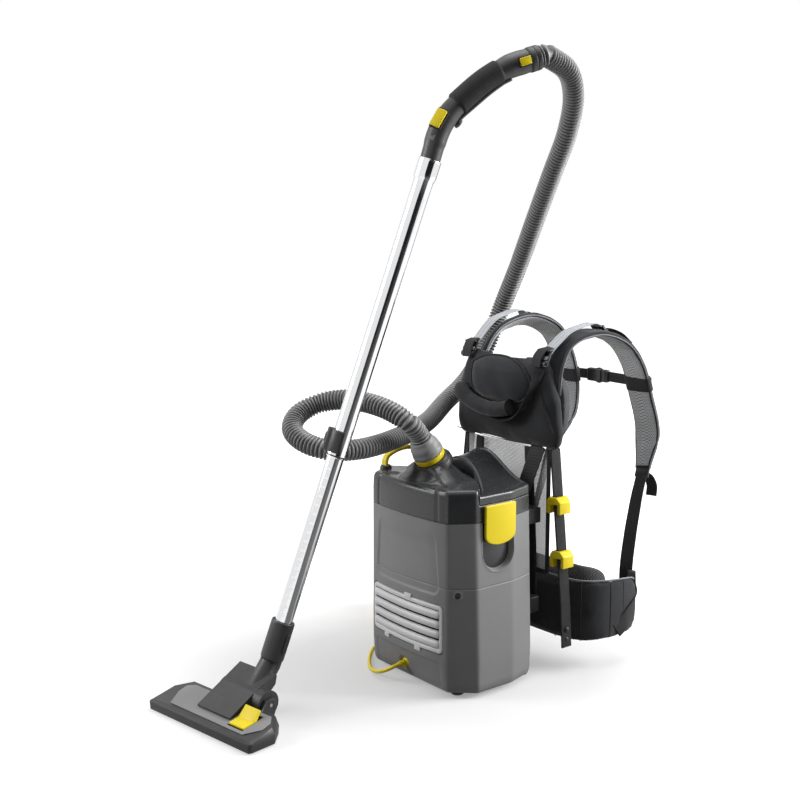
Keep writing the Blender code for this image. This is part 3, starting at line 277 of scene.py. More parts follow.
def grid_faces(rows, columns, closed, joined=False):
    """Quads between neighbouring rows and columns; closed joins the last column to the first, joined the
    last row."""
    r = np.arange(rows if joined else rows - 1)
    c = np.arange(columns if closed else columns - 1)
    r, c = np.meshgrid(r, c, indexing="ij")
    r2, c2 = (r + 1) % rows, (c + 1) % columns
    return np.stack([r * columns + c, r * columns + c2, r2 * columns + c2, r2 * columns + c],
                    axis=-1).reshape(-1, 4)


def grid_uv(rows, columns, closed, joined, across, along):
    """Corner UVs in metres for grid_faces, with no jump back where the columns close."""
    r = np.arange(rows if joined else rows - 1)
    c = np.arange(columns if closed else columns - 1)
    r, c = np.meshgrid(r, c, indexing="ij")
    step = across / (columns if closed else columns - 1)
    along = np.append(along, along[-1] + (along[-1] - along[-2]))
    us = np.stack([c, c + 1, c + 1, c], axis=-1) * step
    vs = along[np.stack([r, r, r + 1, r + 1], axis=-1)]
    return np.stack([us, vs], axis=-1).reshape(-1, 2)


def build_object(name, points, faces, finish, smooth=True, corner_uv=None):
    """Mesh object from points in the machine's frame and faces as lists of indices."""
    mesh = bpy.data.meshes.new(name)
    mesh.from_pydata((np.asarray(points, float).reshape(-1, 3) + ORIGIN).tolist(), [], faces)
    if corner_uv is not None:
        layer = mesh.uv_layers.new(name="surface")
        layer.data.foreach_set("uv", np.asarray(corner_uv, np.float32).ravel())
    mesh.validate()
    mesh.materials.append(finish)
    item = bpy.data.objects.new(name, mesh)
    bpy.context.scene.collection.objects.link(item)
    if smooth:
        mesh.shade_smooth()
    return item


def outward(item, weld=0.0):
    """Merge doubles if asked, then turn every face of a closed mesh outwards."""
    work = bmesh.new()
    work.from_mesh(item.data)
    if weld:
        bmesh.ops.remove_doubles(work, verts=work.verts, dist=weld)
    bmesh.ops.recalc_face_normals(work, faces=work.faces)
    work.to_mesh(item.data)
    work.free()
    item.data.update()
    return item


def skin(name, grid, finish, closed=True, joined=False, caps=True, uv=None, smooth=True):
    """Surface over a grid of points (rows, columns, 3). closed joins the columns round, joined the rows
    round, and
    caps closes both ends with a fan about the end row's mean point."""
    rows, columns = grid.shape[:2]
    points = grid.reshape(-1, 3)
    quads = grid_faces(rows, columns, closed, joined)
    faces = quads.tolist()
    corner_uv = None if uv is None else grid_uv(rows, columns, closed, joined, *uv)
    if caps and closed and not joined:
        count = len(points)
        points = np.vstack([points, grid[0].mean(0), grid[-1].mean(0)])
        i = np.arange(columns)
        last = (rows - 1) * columns
        first_fan = np.stack([np.full(columns, count), (i + 1) % columns, i], axis=1)
        last_fan = np.stack([np.full(columns, count + 1), last + i, last + (i + 1) % columns], axis=1)
        faces += first_fan.tolist() + last_fan.tolist()
        if corner_uv is not None:
            corner_uv = np.vstack([corner_uv, np.zeros((6 * columns, 2))])
    item = build_object(name, points, faces, finish, smooth, corner_uv)
    if joined or (caps and closed):
        outward(item)
    return item


def slab(name, outline, low, high, matrix, finish, bevel=0.001, segments=3):
    """Flat outline of (x, y) pairs pushed from low to high along a frame's Z, with bevelled edges."""
    outline = np.asarray(outline, float)
    ends = [np.column_stack([outline, np.full(len(outline), z)]) for z in (low, high)]
    points = placed(np.vstack(ends), matrix)
    n = len(outline)
    i = np.arange(n)
    walls = np.stack([i, (i + 1) % n, n + (i + 1) % n, n + i], axis=1).tolist()
    item = build_object(name, points, walls + [list(range(n))[::-1], list(range(n, 2 * n))], finish,
                        smooth=False)
    outward(item)
    return soften_edges(item, bevel, segments)


def soften_edges(item, width, segments=3, angle=30):
    """Bevel every edge sharper than the angle, then shade smooth."""
    if width:
        edge = item.modifiers.new("rounded edges", "BEVEL")
        edge.width = width
        edge.segments = segments
        edge.limit_method = "ANGLE"
        edge.angle_limit = math.radians(angle)
        edge.harden_normals = False
        apply_modifiers(item)
    item.data.shade_smooth()
    item.data.set_sharp_from_angle(angle=math.radians(angle))
    return item


def apply_modifiers(item):
    """Replace the mesh by its evaluated one, and drop the modifiers."""
    depsgraph = bpy.context.evaluated_depsgraph_get()
    mesh = bpy.data.meshes.new_from_object(item.evaluated_get(depsgraph), depsgraph=depsgraph)
    item.modifiers.clear()
    item.data = mesh
    return item


def cut_away(item, cutter):
    """Exact Boolean difference; the cutter is removed."""
    tool = item.modifiers.new("opening", "BOOLEAN")
    tool.operation, tool.solver, tool.object = "DIFFERENCE", "EXACT", cutter
    apply_modifiers(item)
    bpy.data.objects.remove(cutter)
    return item


def rounded_outline(half_width, half_height, radius, middle=(0.0, 0.0), steps=6):
    """Rectangle whose corners are quarter circles, counter-clockwise."""
    turn = np.linspace(0.0, math.pi / 2, steps)
    quarters = []
    for k, (sx, sy) in enumerate(((1, 1), (-1, 1), (-1, -1), (1, -1))):
        centre = np.array((sx * (half_width - radius), sy * (half_height - radius)))
        angle = turn + k * math.pi / 2
        quarters.append(centre + radius * np.stack([np.cos(angle), np.sin(angle)], axis=1))
    return np.vstack(quarters) + np.array(middle)


def merged_copy(node, finish, bevel=0.0, segments=2, angle=30):
    """Copy of a CAD node with its loose triangles welded, flat regions joined again, and its edges
    bevelled."""
    source = frame["nodes"][node]
    item = bpy.data.objects.new(node + "_finished", source.data.copy())
    bpy.context.scene.collection.objects.link(item)
    item.data.materials.clear()
    item.data.materials.append(finish)
    work = bmesh.new()
    work.from_mesh(item.data)
    bmesh.ops.remove_doubles(work, verts=work.verts, dist=1e-5)
    bmesh.ops.dissolve_limit(work, angle_limit=math.radians(1.0), verts=work.verts, edges=work.edges)
    bmesh.ops.recalc_face_normals(work, faces=work.faces)
    work.to_mesh(item.data)
    work.free()
    for layer in list(item.data.attributes):
        if layer.name == "custom_normal":
            item.data.attributes.remove(layer)
    soften_edges(item, bevel, segments, angle)
    return item


def finish_piece(item, body, nodes=()):
    """Let the piece ride on its body, and hide the CAD nodes it stands for."""
    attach(item, body)
    if nodes:
        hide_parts(*([nodes] if isinstance(nodes, str) else nodes))
    return item


# ---------------------------------------------------------------- finishes

def new_group(name, inputs, outputs):
    """Empty shader node group with named sockets; inputs are (name, kind, default)."""
    group = bpy.data.node_groups.new(name, "ShaderNodeTree")
    for label, kind, default in inputs:
        socket = group.interface.new_socket(name=label, in_out="INPUT", socket_type="NodeSocket" + kind)
        socket.default_value = default
    for label, kind in outputs:
        group.interface.new_socket(name=label, in_out="OUTPUT", socket_type="NodeSocket" + kind)
    return group


class Wiring:
    """Short hand for adding and linking nodes in one tree."""

    def __init__(self, tree):
        self.tree = tree

    def add(self, kind, **settings):
        """Add a node; settings are its properties."""
        node = self.tree.nodes.new(kind)
        for key, value in settings.items():
            setattr(node, key, value)
        return node

    def link(self, source, target):
        """Link an output to an input socket."""
        self.tree.links.new(source, target)

    def feed(self, socket, value):
        """Link a socket's value, or set it as a constant."""
        if isinstance(value, bpy.types.NodeSocket):
            self.link(value, socket)
        elif value is not None:
            socket.default_value = value

    def math(self, operation, *values, clamp=False):
        """Math node on one to three values or sockets."""
        node = self.add("ShaderNodeMath", operation=operation, use_clamp=clamp)
        for socket, value in zip(node.inputs, values):
            self.feed(socket, value)
        return node.outputs[0]

    def noise(self, vector, scale, detail=2.0, roughness=0.5):
        """Noise value at a scale per metre."""
        node = self.add("ShaderNodeTexNoise")
        self.feed(node.inputs["Vector"], vector)
        self.feed(node.inputs["Scale"], scale)
        node.inputs["Detail"].default_value = detail
        node.inputs["Roughness"].default_value = roughness
        return node.outputs["Fac"]

    def spread(self, value, low, high, new_low=0.0, new_high=1.0):
        """Map one range of a value to another, clamped."""
        node = self.add("ShaderNodeMapRange")
        for label, v in (("Value", value), ("From Min", low), ("From Max", high),
                         ("To Min", new_low), ("To Max", new_high)):
            self.feed(node.inputs[label], v)
        return node.outputs["Result"]

    def mix(self, share, one, two, blend="MIX"):
        """Mix two colours."""
        node = self.add("ShaderNodeMix", data_type="RGBA", blend_type=blend)
        for k, v in ((0, share), (6, one), (7, two)):
            self.feed(node.inputs[k], v)
        return node.outputs[2]

    def group(self, name, **values):
        """Place a shared group with its own input values; returns its outputs."""
        node = self.add("ShaderNodeGroup", node_tree=bpy.data.node_groups[name])
        for key, value in values.items():
            self.feed(node.inputs[key.replace("_", " ")], value)
        return node.outputs


def make_grain_group():
    """Moulded grain: fine noise for height, broad noise for small shifts of colour and roughness, and
    dust on faces
    that look up."""
    tree = new_group("moulded grain",
                     [("Colour", "Color", (0.2, 0.2, 0.2, 1)), ("Grain per metre", "Float", 1400.0),
                      ("Roughness", "Float", 0.5), ("Blotch", "Float", 0.06), ("Dust", "Float", 0.03)],
                     [("Colour", "Color"), ("Roughness", "Float"), ("Height", "Float")])
    w = Wiring(tree)
    given, result = w.add("NodeGroupInput"), w.add("NodeGroupOutput")
    place = w.add("ShaderNodeTexCoord").outputs["Object"]
    fine = w.noise(place, given.outputs["Grain per metre"], 3.0, 0.6)
    broad = w.noise(place, 9.0, 3.0, 0.55)
    scuff = w.noise(place, 60.0, 4.0, 0.7)
    signed = w.spread(broad, 0.3, 0.7, -1.0, 1.0)
    shift = w.math("MULTIPLY_ADD", signed, given.outputs["Blotch"], 1.0)
    level = w.math("MULTIPLY_ADD", w.spread(fine, 0.35, 0.65, -1.0, 1.0), 0.035, shift)
    toned = w.add("ShaderNodeVectorMath", operation="SCALE")
    w.link(given.outputs["Colour"], toned.inputs[0])
    w.link(level, toned.inputs["Scale"])
    facing = w.add("ShaderNodeSeparateXYZ")
    w.link(w.add("ShaderNodeNewGeometry").outputs["Normal"], facing.inputs[0])
    lying = w.math("MULTIPLY", w.spread(facing.outputs["Z"], 0.5, 1.0), w.spread(scuff, 0.45, 0.75))
    dusty = w.mix(w.math("MULTIPLY", lying, given.outputs["Dust"]), toned.outputs[0], (0.55, 0.54, 0.52, 1))
    w.link(dusty, result.inputs["Colour"])
    rough = w.math("ADD", given.outputs["Roughness"], w.spread(scuff, 0.3, 0.7, -0.05, 0.06))
    w.link(w.math("ADD", rough, w.math("MULTIPLY", fine, 0.04), clamp=True), result.inputs["Roughness"])
    w.link(fine, result.inputs["Height"])


def make_wear_group():
    """Handling wear: thin scattered scratches, stretched noise kept only where it is near its middle
    value."""
    tree = new_group("scratches", [("Amount", "Float", 0.3), ("Per metre", "Float", 90.0)],
                     [("Mask", "Float")])
    w = Wiring(tree)
    given, result = w.add("NodeGroupInput"), w.add("NodeGroupOutput")
    turn = w.add("ShaderNodeMapping")
    turn.inputs["Rotation"].default_value = (0.4, 0.7, 0.3)
    turn.inputs["Scale"].default_value = (1.0, 9.0, 1.3)
    w.link(w.add("ShaderNodeTexCoord").outputs["Object"], turn.inputs["Vector"])
    lines = w.noise(turn.outputs[0], given.outputs["Per metre"], 2.0, 0.5)
    near = w.math("ABSOLUTE", w.math("SUBTRACT", lines, 0.5))
    thin = w.spread(near, 0.0, 0.012, 1.0, 0.0)
    patch = w.spread(w.noise(w.add("ShaderNodeTexCoord").outputs["Object"], 14.0), 0.52, 0.66)
    w.link(w.math("MULTIPLY", w.math("MULTIPLY", thin, patch), given.outputs["Amount"]),
           result.inputs["Mask"])


def make_weave_group():
    """Plain weave on the two axes that a face lies in: product of two sines for each pair of axes,
    weighted by the
    fourth power of the normal."""
    tree = new_group("plain weave", [("Pitch", "Float", 0.0016), ("Fuzz", "Float", 0.35)],
                     [("Tone", "Float"), ("Height", "Float")])
    w = Wiring(tree)
    given, result = w.add("NodeGroupInput"), w.add("NodeGroupOutput")
    place = w.add("ShaderNodeTexCoord").outputs["Object"]
    split, normal = w.add("ShaderNodeSeparateXYZ"), w.add("ShaderNodeSeparateXYZ")
    w.link(place, split.inputs[0])
    w.link(w.add("ShaderNodeNewGeometry").outputs["Normal"], normal.inputs[0])
    rate = w.math("DIVIDE", math.pi, given.outputs["Pitch"])
    waves = [w.math("SINE", w.math("MULTIPLY", split.outputs[k], rate)) for k in range(3)]
    weights = [w.math("POWER", w.math("ABSOLUTE", normal.outputs[k]), 4.0) for k in range(3)]
    total = w.math("ADD", w.math("ADD", weights[0], weights[1]), w.math("ADD", weights[2], 0.0001))
    parts = [w.math("MULTIPLY", w.math("MULTIPLY", waves[a], waves[b]), weights[c])
             for a, b, c in ((1, 2, 0), (0, 2, 1), (0, 1, 2))]
    weave = w.math("DIVIDE", w.math("ADD", w.math("ADD", parts[0], parts[1]), parts[2]), total)
    fuzz = w.math("MULTIPLY", w.noise(place, 900.0, 3.0, 0.7), given.outputs["Fuzz"])
    w.link(w.math("ADD", w.spread(weave, -1.0, 1.0, 0.0, 0.75), fuzz), result.inputs["Height"])
    w.link(w.spread(weave, -1.0, 1.0, -1.0, 1.0), result.inputs["Tone"])


def make_mesh_group():
    """Ventilated mesh: rows of round holes, each row shifted by half a step; the distance to the nearest
    hole's
    middle gives the hole mask and the rounded thread height."""
    tree = new_group("spacer mesh", [("Pitch", "Float", 0.0042), ("Hole", "Float", 0.33)],
                     [("Hole", "Float"), ("Height", "Float")])
    w = Wiring(tree)
    given, result = w.add("NodeGroupInput"), w.add("NodeGroupOutput")
    split, both = w.add("ShaderNodeSeparateXYZ"), w.add("ShaderNodeCombineXYZ")
    w.link(w.add("ShaderNodeUVMap", uv_map="surface").outputs["UV"], split.inputs[0])
    u = w.math("DIVIDE", split.outputs["X"], given.outputs["Pitch"])
    v = w.math("DIVIDE", split.outputs["Y"], w.math("MULTIPLY", given.outputs["Pitch"], 0.8))
    row = w.math("FLOOR", v)
    shifted = w.math("ADD", u, w.math("MULTIPLY", w.math("FLOORED_MODULO", row, 2.0), 0.5))
    du = w.math("SUBTRACT", w.math("FRACT", shifted), 0.5)
    dv = w.math("SUBTRACT", w.math("FRACT", v), 0.5)
    w.link(du, both.inputs[0])
    w.link(dv, both.inputs[1])
    far = w.add("ShaderNodeVectorMath", operation="LENGTH")
    w.link(both.outputs[0], far.inputs[0])
    edge = w.math("SUBTRACT", far.outputs["Value"], given.outputs["Hole"])
    w.link(w.spread(edge, -0.06, 0.06, 1.0, 0.0), result.inputs["Hole"])
    w.link(w.spread(edge, -0.05, 0.15, 0.0, 1.0), result.inputs["Height"])


def make_webbing_group():
    """Ribbed tape: sine ribs across the tape's width crossed by a finer sine along it, on the piece's own
    UV."""
    tree = new_group("ribbed tape", [("Pitch", "Float", 0.0022)], [("Tone", "Float"), ("Height", "Float")])
    w = Wiring(tree)
    given, result = w.add("NodeGroupInput"), w.add("NodeGroupOutput")
    split = w.add("ShaderNodeSeparateXYZ")
    w.link(w.add("ShaderNodeUVMap", uv_map="surface").outputs["UV"], split.inputs[0])
    rate = w.math("DIVIDE", 2 * math.pi, given.outputs["Pitch"])
    across = w.math("SINE", w.math("MULTIPLY", split.outputs["X"], rate))
    along = w.math("SINE", w.math("MULTIPLY", split.outputs["Y"], w.math("MULTIPLY", rate, 1.7)))
    both = w.math("ADD", w.math("MULTIPLY", across, 0.6), w.math("MULTIPLY", along, 0.4))
    w.link(both, result.inputs["Tone"])
    w.link(w.spread(both, -1.0, 1.0), result.inputs["Height"])


def make_smudge_group():
    """Handling marks on plate: broad soft noise and fine hazy streaks for roughness."""
    tree = new_group("smudges", [("Clean", "Float", 0.05), ("Smeared", "Float", 0.16)],
                     [("Roughness", "Float")])
    w = Wiring(tree)
    given, result = w.add("NodeGroupInput"), w.add("NodeGroupOutput")
    place = w.add("ShaderNodeTexCoord").outputs["Object"]
    broad = w.spread(w.noise(place, 18.0, 4.0, 0.6), 0.40, 0.72)
    fine = w.noise(place, 420.0, 2.0, 0.5)
    share = w.math("MULTIPLY_ADD", broad, 0.8, w.math("MULTIPLY", fine, 0.2))
    w.link(w.spread(share, 0.0, 1.0, given.outputs["Clean"], given.outputs["Smeared"]),
           result.inputs["Roughness"])


def make_pile_group():
    """Bristle tone: tall thin noise cells, stretched along Z."""
    tree = new_group("bristle tone", [("Per metre", "Float", 900.0)], [("Tone", "Float")])
    w = Wiring(tree)
    given, result = w.add("NodeGroupInput"), w.add("NodeGroupOutput")
    stretch = w.add("ShaderNodeMapping")
    stretch.inputs["Scale"].default_value = (1.0, 1.0, 0.04)
    w.link(w.add("ShaderNodeTexCoord").outputs["Object"], stretch.inputs["Vector"])
    w.link(w.noise(stretch.outputs[0], given.outputs["Per metre"], 1.0), result.inputs["Tone"])


def start_material(name):
    """New node material; returns the material, its wiring and its Principled shader."""
    made = bpy.data.materials.new(name)
    made.use_nodes = True
    w = Wiring(made.node_tree)
    return made, w, made.node_tree.nodes["Principled BSDF"]


def bump(w, shader, height, distance, strength=0.6):
    """Bump node from a height into the shader's normal."""
    node = w.add("ShaderNodeBump")
    node.inputs["Strength"].default_value = strength
    node.inputs["Distance"].default_value = distance
    w.link(height, node.inputs["Height"])
    w.link(node.outputs["Normal"], shader.inputs["Normal"])


def plastic(name, colour, roughness, grain=1400.0, depth=0.00012, blotch=0.05, dust=0.04, scratches=0.25,
            specular=0.5):
    """Moulded plastic with grain, broad tone shifts, a trace of dust and a few pale scratches."""
    made, w, shader = start_material(name)
    out = w.group("moulded grain", Colour=(*colour, 1), Grain_per_metre=grain, Roughness=roughness,
                  Blotch=blotch, Dust=dust)
    marks = w.group("scratches", Amount=scratches)[0]
    paler = tuple(min(1.0, 0.25 + c) for c in colour) + (1,)
    w.link(w.mix(marks, out["Colour"], paler), shader.inputs["Base Color"])
    w.link(out["Roughness"], shader.inputs["Roughness"])
    shader.inputs["Specular IOR Level"].default_value = specular
    bump(w, shader, out["Height"], depth)
    return made


def ringed_plastic_painted_valley_shade(name, colour, pitch, roughness=0.42):
    """Corrugated hose plastic: grained plastic, with painted shade that darkens the valleys by the cosine of the
    distance along the hose."""
    made = plastic(name, colour, roughness, 1200, 0.00005, 0.06, 0.0, 0.0)
    w = Wiring(made.node_tree)
    shader = made.node_tree.nodes["Principled BSDF"]
    tone = shader.inputs["Base Color"].links[0].from_socket
    split = w.add("ShaderNodeSeparateXYZ")
    w.link(w.add("ShaderNodeTexCoord").outputs["UV"], split.inputs[0])
    wave = w.math("COSINE", w.math("MULTIPLY", split.outputs["Y"], 2 * math.pi / pitch))
    # painted shade: the valleys between the ridges are darkened towards a tenth of the hose colour
    valley = w.spread(wave, -0.7, 0.6, 0.0, 0.92)
    w.link(w.mix(valley, tone, tuple(0.10 * c for c in colour) + (1,)), shader.inputs["Base Color"])
    return made


def cloth(name, colour, pitch, tone=0.35, roughness=0.92, sheen=0.25):
    """Woven cloth: weave tone and height, broad fading, and sheen on the shader itself."""
    made, w, shader = start_material(name)
    weave = w.group("plain weave", Pitch=pitch)
    place = w.add("ShaderNodeTexCoord").outputs["Object"]
    faded = w.spread(w.noise(place, 16.0, 3.0), 0.3, 0.7, -0.18, 0.22)
    level = w.math("ADD", w.math("MULTIPLY_ADD", weave["Tone"], tone, 1.0), faded)
    toned = w.add("ShaderNodeVectorMath", operation="SCALE")
    toned.inputs[0].default_value = colour
    w.link(level, toned.inputs["Scale"])
    w.link(toned.outputs[0], shader.inputs["Base Color"])
    shader.inputs["Roughness"].default_value = roughness
    shader.inputs["Sheen Weight"].default_value = sheen
    shader.inputs["Sheen Roughness"].default_value = 0.5
    shader.inputs["Specular IOR Level"].default_value = 0.25
    bump(w, shader, weave["Height"], 0.0004, 0.7)
    return made


def mesh_cloth(name, colour, pitch, hole, open_holes=False):
    """Ventilated mesh; its holes are open, or show the layer underneath in painted shade."""
    made, w, shader = start_material(name)
    out = w.group("spacer mesh", Pitch=pitch, Hole=hole)
    # painted shade in the holes: the layer underneath is drawn at 0.3 of the mesh colour
    under = tuple(0.30 * c for c in colour)
    shade = w.spread(w.noise(w.add("ShaderNodeTexCoord").outputs["Object"], 22.0), 0.3, 0.7, 0.88, 1.10)
    lit = w.add("ShaderNodeVectorMath", operation="SCALE")
    lit.inputs[0].default_value = colour
    w.link(shade, lit.inputs["Scale"])
    w.link(w.mix(out["Hole"], lit.outputs[0], (*under, 1)), shader.inputs["Base Color"])
    if open_holes:
        w.link(w.math("SUBTRACT", 1.0, out["Hole"]), shader.inputs["Alpha"])
    shader.inputs["Roughness"].default_value = 0.85
    shader.inputs["Specular IOR Level"].default_value = 0.3
    bump(w, shader, out["Height"], 0.0006, 0.7)
    return made


def tape(name, colour, pitch=0.0022):
    """Ribbed woven tape."""
    made, w, shader = start_material(name)
    out = w.group("ribbed tape", Pitch=pitch)
    level = w.math("MULTIPLY_ADD", out["Tone"], 0.22, 1.0)
    toned = w.add("ShaderNodeVectorMath", operation="SCALE")
    toned.inputs[0].default_value = colour
    w.link(level, toned.inputs["Scale"])
    w.link(toned.outputs[0], shader.inputs["Base Color"])
    shader.inputs["Roughness"].default_value = 0.72
    shader.inputs["Specular IOR Level"].default_value = 0.35
    bump(w, shader, out["Height"], 0.0003, 0.8)
    return made


def plated(name, colour, clean=0.05, smeared=0.15):
    """Chromed steel with handling marks in its roughness."""
    made, w, shader = start_material(name)
    shader.inputs["Base Color"].default_value = (*colour, 1)
    shader.inputs["Metallic"].default_value = 1.0
    w.link(w.group("smudges", Clean=clean, Smeared=smeared)["Roughness"], shader.inputs["Roughness"])
    return made


def bristles(name, colour):
    """Bristle strip: streaky dark tone."""
    made, w, shader = start_material(name)
    tone = w.group("bristle tone")["Tone"]
    w.link(w.mix(w.spread(tone, 0.35, 0.65), (*colour, 1), (0.10, 0.10, 0.10, 1)),
           shader.inputs["Base Color"])
    shader.inputs["Roughness"].default_value = 0.8
    return made


FINISHES = {}


def make_finishes(colours):
    """Build the shared groups once and every material from the colour settings."""
    for make in (make_grain_group, make_wear_group, make_weave_group, make_mesh_group, make_webbing_group,
                 make_smudge_group, make_pile_group):
        make()
    pitch = bpy.context.scene.vacuum_sizes.weave_pitch
    FINISHES.update({
        "housing": plastic("housing grained grey", colours.housing, 0.46, 1500, 0.00016, 0.035, 0.03, 0.15),
        "lid": plastic("lid satin anthracite", colours.lid, 0.22, 1700, 0.00003, 0.02, 0.0, 0.08),
        "black": plastic("frame black plastic", colours.black, 0.40, 1600, 0.00008, 0.10, 0.04, 0.3),
        "rubber": plastic("soft black rubber", colours.rubber, 0.72, 2200, 0.00015, 0.10, 0.05, 0.0, 0.35),
        "yellow": plastic("signal yellow plastic", colours.signal, 0.36, 1500, 0.00004, 0.03, 0.0, 0.1),
        "silver": plastic("grille silver paint", colours.silver, 0.38, 2200, 0.00006, 0.04, 0.06, 0.2, 0.6),
        "hose": plastic("hose grey plastic", colours.hose, 0.42, 1200, 0.00005, 0.06, 0.06, 0.0),
        "handle": plastic("handle grey plastic", colours.handle, 0.38, 1600, 0.00008, 0.05, 0.03, 0.25),
        "plate": plastic("tool plate grey", colours.plate, 0.40, 1600, 0.00008, 0.05, 0.04, 0.35),
        "cloth": cloth("harness woven cloth", colours.cloth, pitch),
        "trim": cloth("grey piping cloth", colours.trim, pitch * 0.6, 0.2, 0.8, 0.1),
        "mesh": mesh_cloth("ventilated strap mesh", colours.spacer, 0.0042, 0.30),
        "open mesh": mesh_cloth("open back mesh", colours.spacer, 0.0034, 0.22, True),
        "dark mesh": mesh_cloth("dark ventilated mesh", (0.120, 0.121, 0.126), 0.0042, 0.30),
        "black tape": tape("black webbing", (0.018, 0.018, 0.020)),
        "pale tape": tape("pale webbing", colours.webbing),
        "chrome": plated("chromed steel", colours.chrome),
        "steel": plated("zinc plated steel", (0.50, 0.50, 0.51), 0.25, 0.45),
        "bristle": bristles("brush bristles", (0.020, 0.020, 0.020)),
        "filter": cloth("filter fleece", (0.72, 0.71, 0.68), pitch * 0.7, 0.08, 0.95, 0.05),
    })


# ---------------------------------------------------------------- hose and mains cord

HOSE_ROUTE = [(0.004, -0.004, 0.510), (-0.030, -0.022, 0.530), (-0.080, -0.040, 0.541),
              (-0.130, -0.058, 0.542), (-0.168, -0.090, 0.532), (-0.176, -0.130, 0.514),
              (-0.152, -0.160, 0.492), (-0.105, -0.162, 0.474), (-0.058, -0.134, 0.463),
              (-0.046, -0.085, 0.461), (-0.052, -0.035, 0.462), (-0.068, 0.020, 0.465),
              (-0.097, 0.090, 0.469), (-0.132, 0.160, 0.478), (-0.170, 0.233, 0.501),
              (-0.190, 0.310, 0.539), (-0.203, 0.375, 0.600), (-0.188, 0.405, 0.683),
              (-0.130, 0.400, 0.779), (-0.055, 0.375, 0.880), (0.020, 0.345, 0.970),
              (0.090, 0.315, 1.050), (0.135, 0.282, 1.110), (0.160, 0.240, 1.150)]
HANDLE_PATH = [(0.0001, 0.0004), (0.017, 0.052), (0.036, 0.082), (0.063, 0.108),
               (0.100, 0.138), (0.140, 0.161), (0.176, 0.173)]
CORD_ROUTE = [(-0.012, -0.029, 0.031), (-0.030, -0.035, 0.020), (-0.056, -0.034, 0.010),
              (-0.086, -0.025, 0.0045), (-0.115, -0.008, 0.0042), (-0.145, 0.017, 0.0042),
              (-0.174, 0.048, 0.0042), (-0.193, 0.090, 0.0042), (-0.199, 0.140, 0.0042),
              (-0.199, 0.195, 0.0042)]
CUFF_FOOT, CUFF_LENGTH = 0.0163, 0.034


def inlet_axes():
    """Frame of the inlet: Z along the hose's first stretch."""
    return axes(INLET, (1, 0, 0), (0, -math.sin(INLET_LEAN), math.cos(INLET_LEAN)))


def handle_line(count):
    """Centre line of the handle: stations (along the wand's heading, up) in the wand's upright plane."""
    heading = np.array((WAND_UP[0], WAND_UP[1], 0.0))
    heading /= np.linalg.norm(heading)
    stations = np.array(HANDLE_PATH)
    return smooth_path(WAND_TOP + stations[:, 0:1] * heading + stations[:, 1:2] * np.array((0, 0, 1.0)),
                       count)


def handle_axis():
    """Level direction square to the handle's plane, on the wearer's right."""
    across = np.cross(WAND_UP, (0, 0, 1))
    return across / np.linalg.norm(across)


def hose_line(count):
    """Hose centre line: straight out of the cuff, through the route, straight into the handle's collar."""
    foot = CUFF_FOOT + CUFF_LENGTH + 0.0003
    start = placed(np.array([(0, 0, foot), (0, 0, foot + 0.014)]), inlet_axes())
    line = handle_line(24)
    ahead = line[-1] - line[-2]
    ahead /= np.linalg.norm(ahead)
    end = line[-1] + ahead * 0.0226
    middle = smooth_path(np.vstack([start[1], HOSE_ROUTE, end + ahead * 0.014]), 400)
    return even_path(np.vstack([start[0], middle, end]), count)


def make_hose(sizes):
    """Corrugated tube: radius is the hose radius less a groove that follows (1 - cos)/2 of the distance along."""
    line = hose_line(400)
    length = path_length(line)
    ridges = round(length / sizes.hose_pitch)
    stations = ridges * 6 + 1
    path = even_path(line, stations)
    wave = 0.5 - 0.5 * np.cos(2 * math.pi * np.arange(stations) / 6)
    radius = HOSE_RADIUS - sizes.hose_groove * (1 - wave)
    radius[[0, -1]] = HOSE_RADIUS - 0.002
    along = np.linspace(0, length, stations)
    # the hose finish darkens the valleys between its ridges with painted shade
    finish = ringed_plastic_painted_valley_shade("corrugated hose plastic", bpy.context.scene.vacuum_colours.hose,
                            length / ridges)
    hose = skin("hose", sweep(path, circle(radius, 30), carried_sides(path)), finish,
                uv=(2 * math.pi * HOSE_RADIUS, along))
    finish_piece(hose, "lid, hose and wand", "suction_hose")


def coil_line(total, step):
    """Wound coil: six rings to a layer, worked inwards and outwards by turns; radius and height hold for
    most of a
    turn and move by one cord spacing over its last fifth."""
    rings = 6
    outer = 0.0928 - step
    radii = [0.0928]
    levels = [0.0042]
    for layer in range(rings):
        order = range(rings) if layer % 2 == 0 else range(rings - 1, -1, -1)
        radii += [outer - step * k for k in order]
        levels += [0.0042 + (step - 0.0001) * layer] * rings
    radii, levels = np.array(radii), np.array(levels)
    per_turn = 30
    turns = np.arange((len(radii) - 1) * per_turn) / per_turn
    whole = turns.astype(int)
    share = ramp(turns - whole, 0.70, 1.0)
    radius = radii[whole] * (1 - share) + radii[whole + 1] * share
    level = levels[whole] * (1 - share) + levels[whole + 1] * share
    angle = 2 * math.pi * turns
    line = COIL_CENTRE + np.stack([radius * np.cos(angle), radius * np.sin(angle), level], axis=1)
    along = np.concatenate(([0.0], np.cumsum(np.linalg.norm(np.diff(line, axis=0), axis=1))))
    keep = along <= total
    turned = turns[keep][-1]
    extra = int(round((0.22 - (turned % 1.0)) % 1.0 * per_turn))
    last = min(keep.sum() + extra, len(line))
    if last - keep.sum() > per_turn // 2:
        last -= per_turn
    return line[:last]


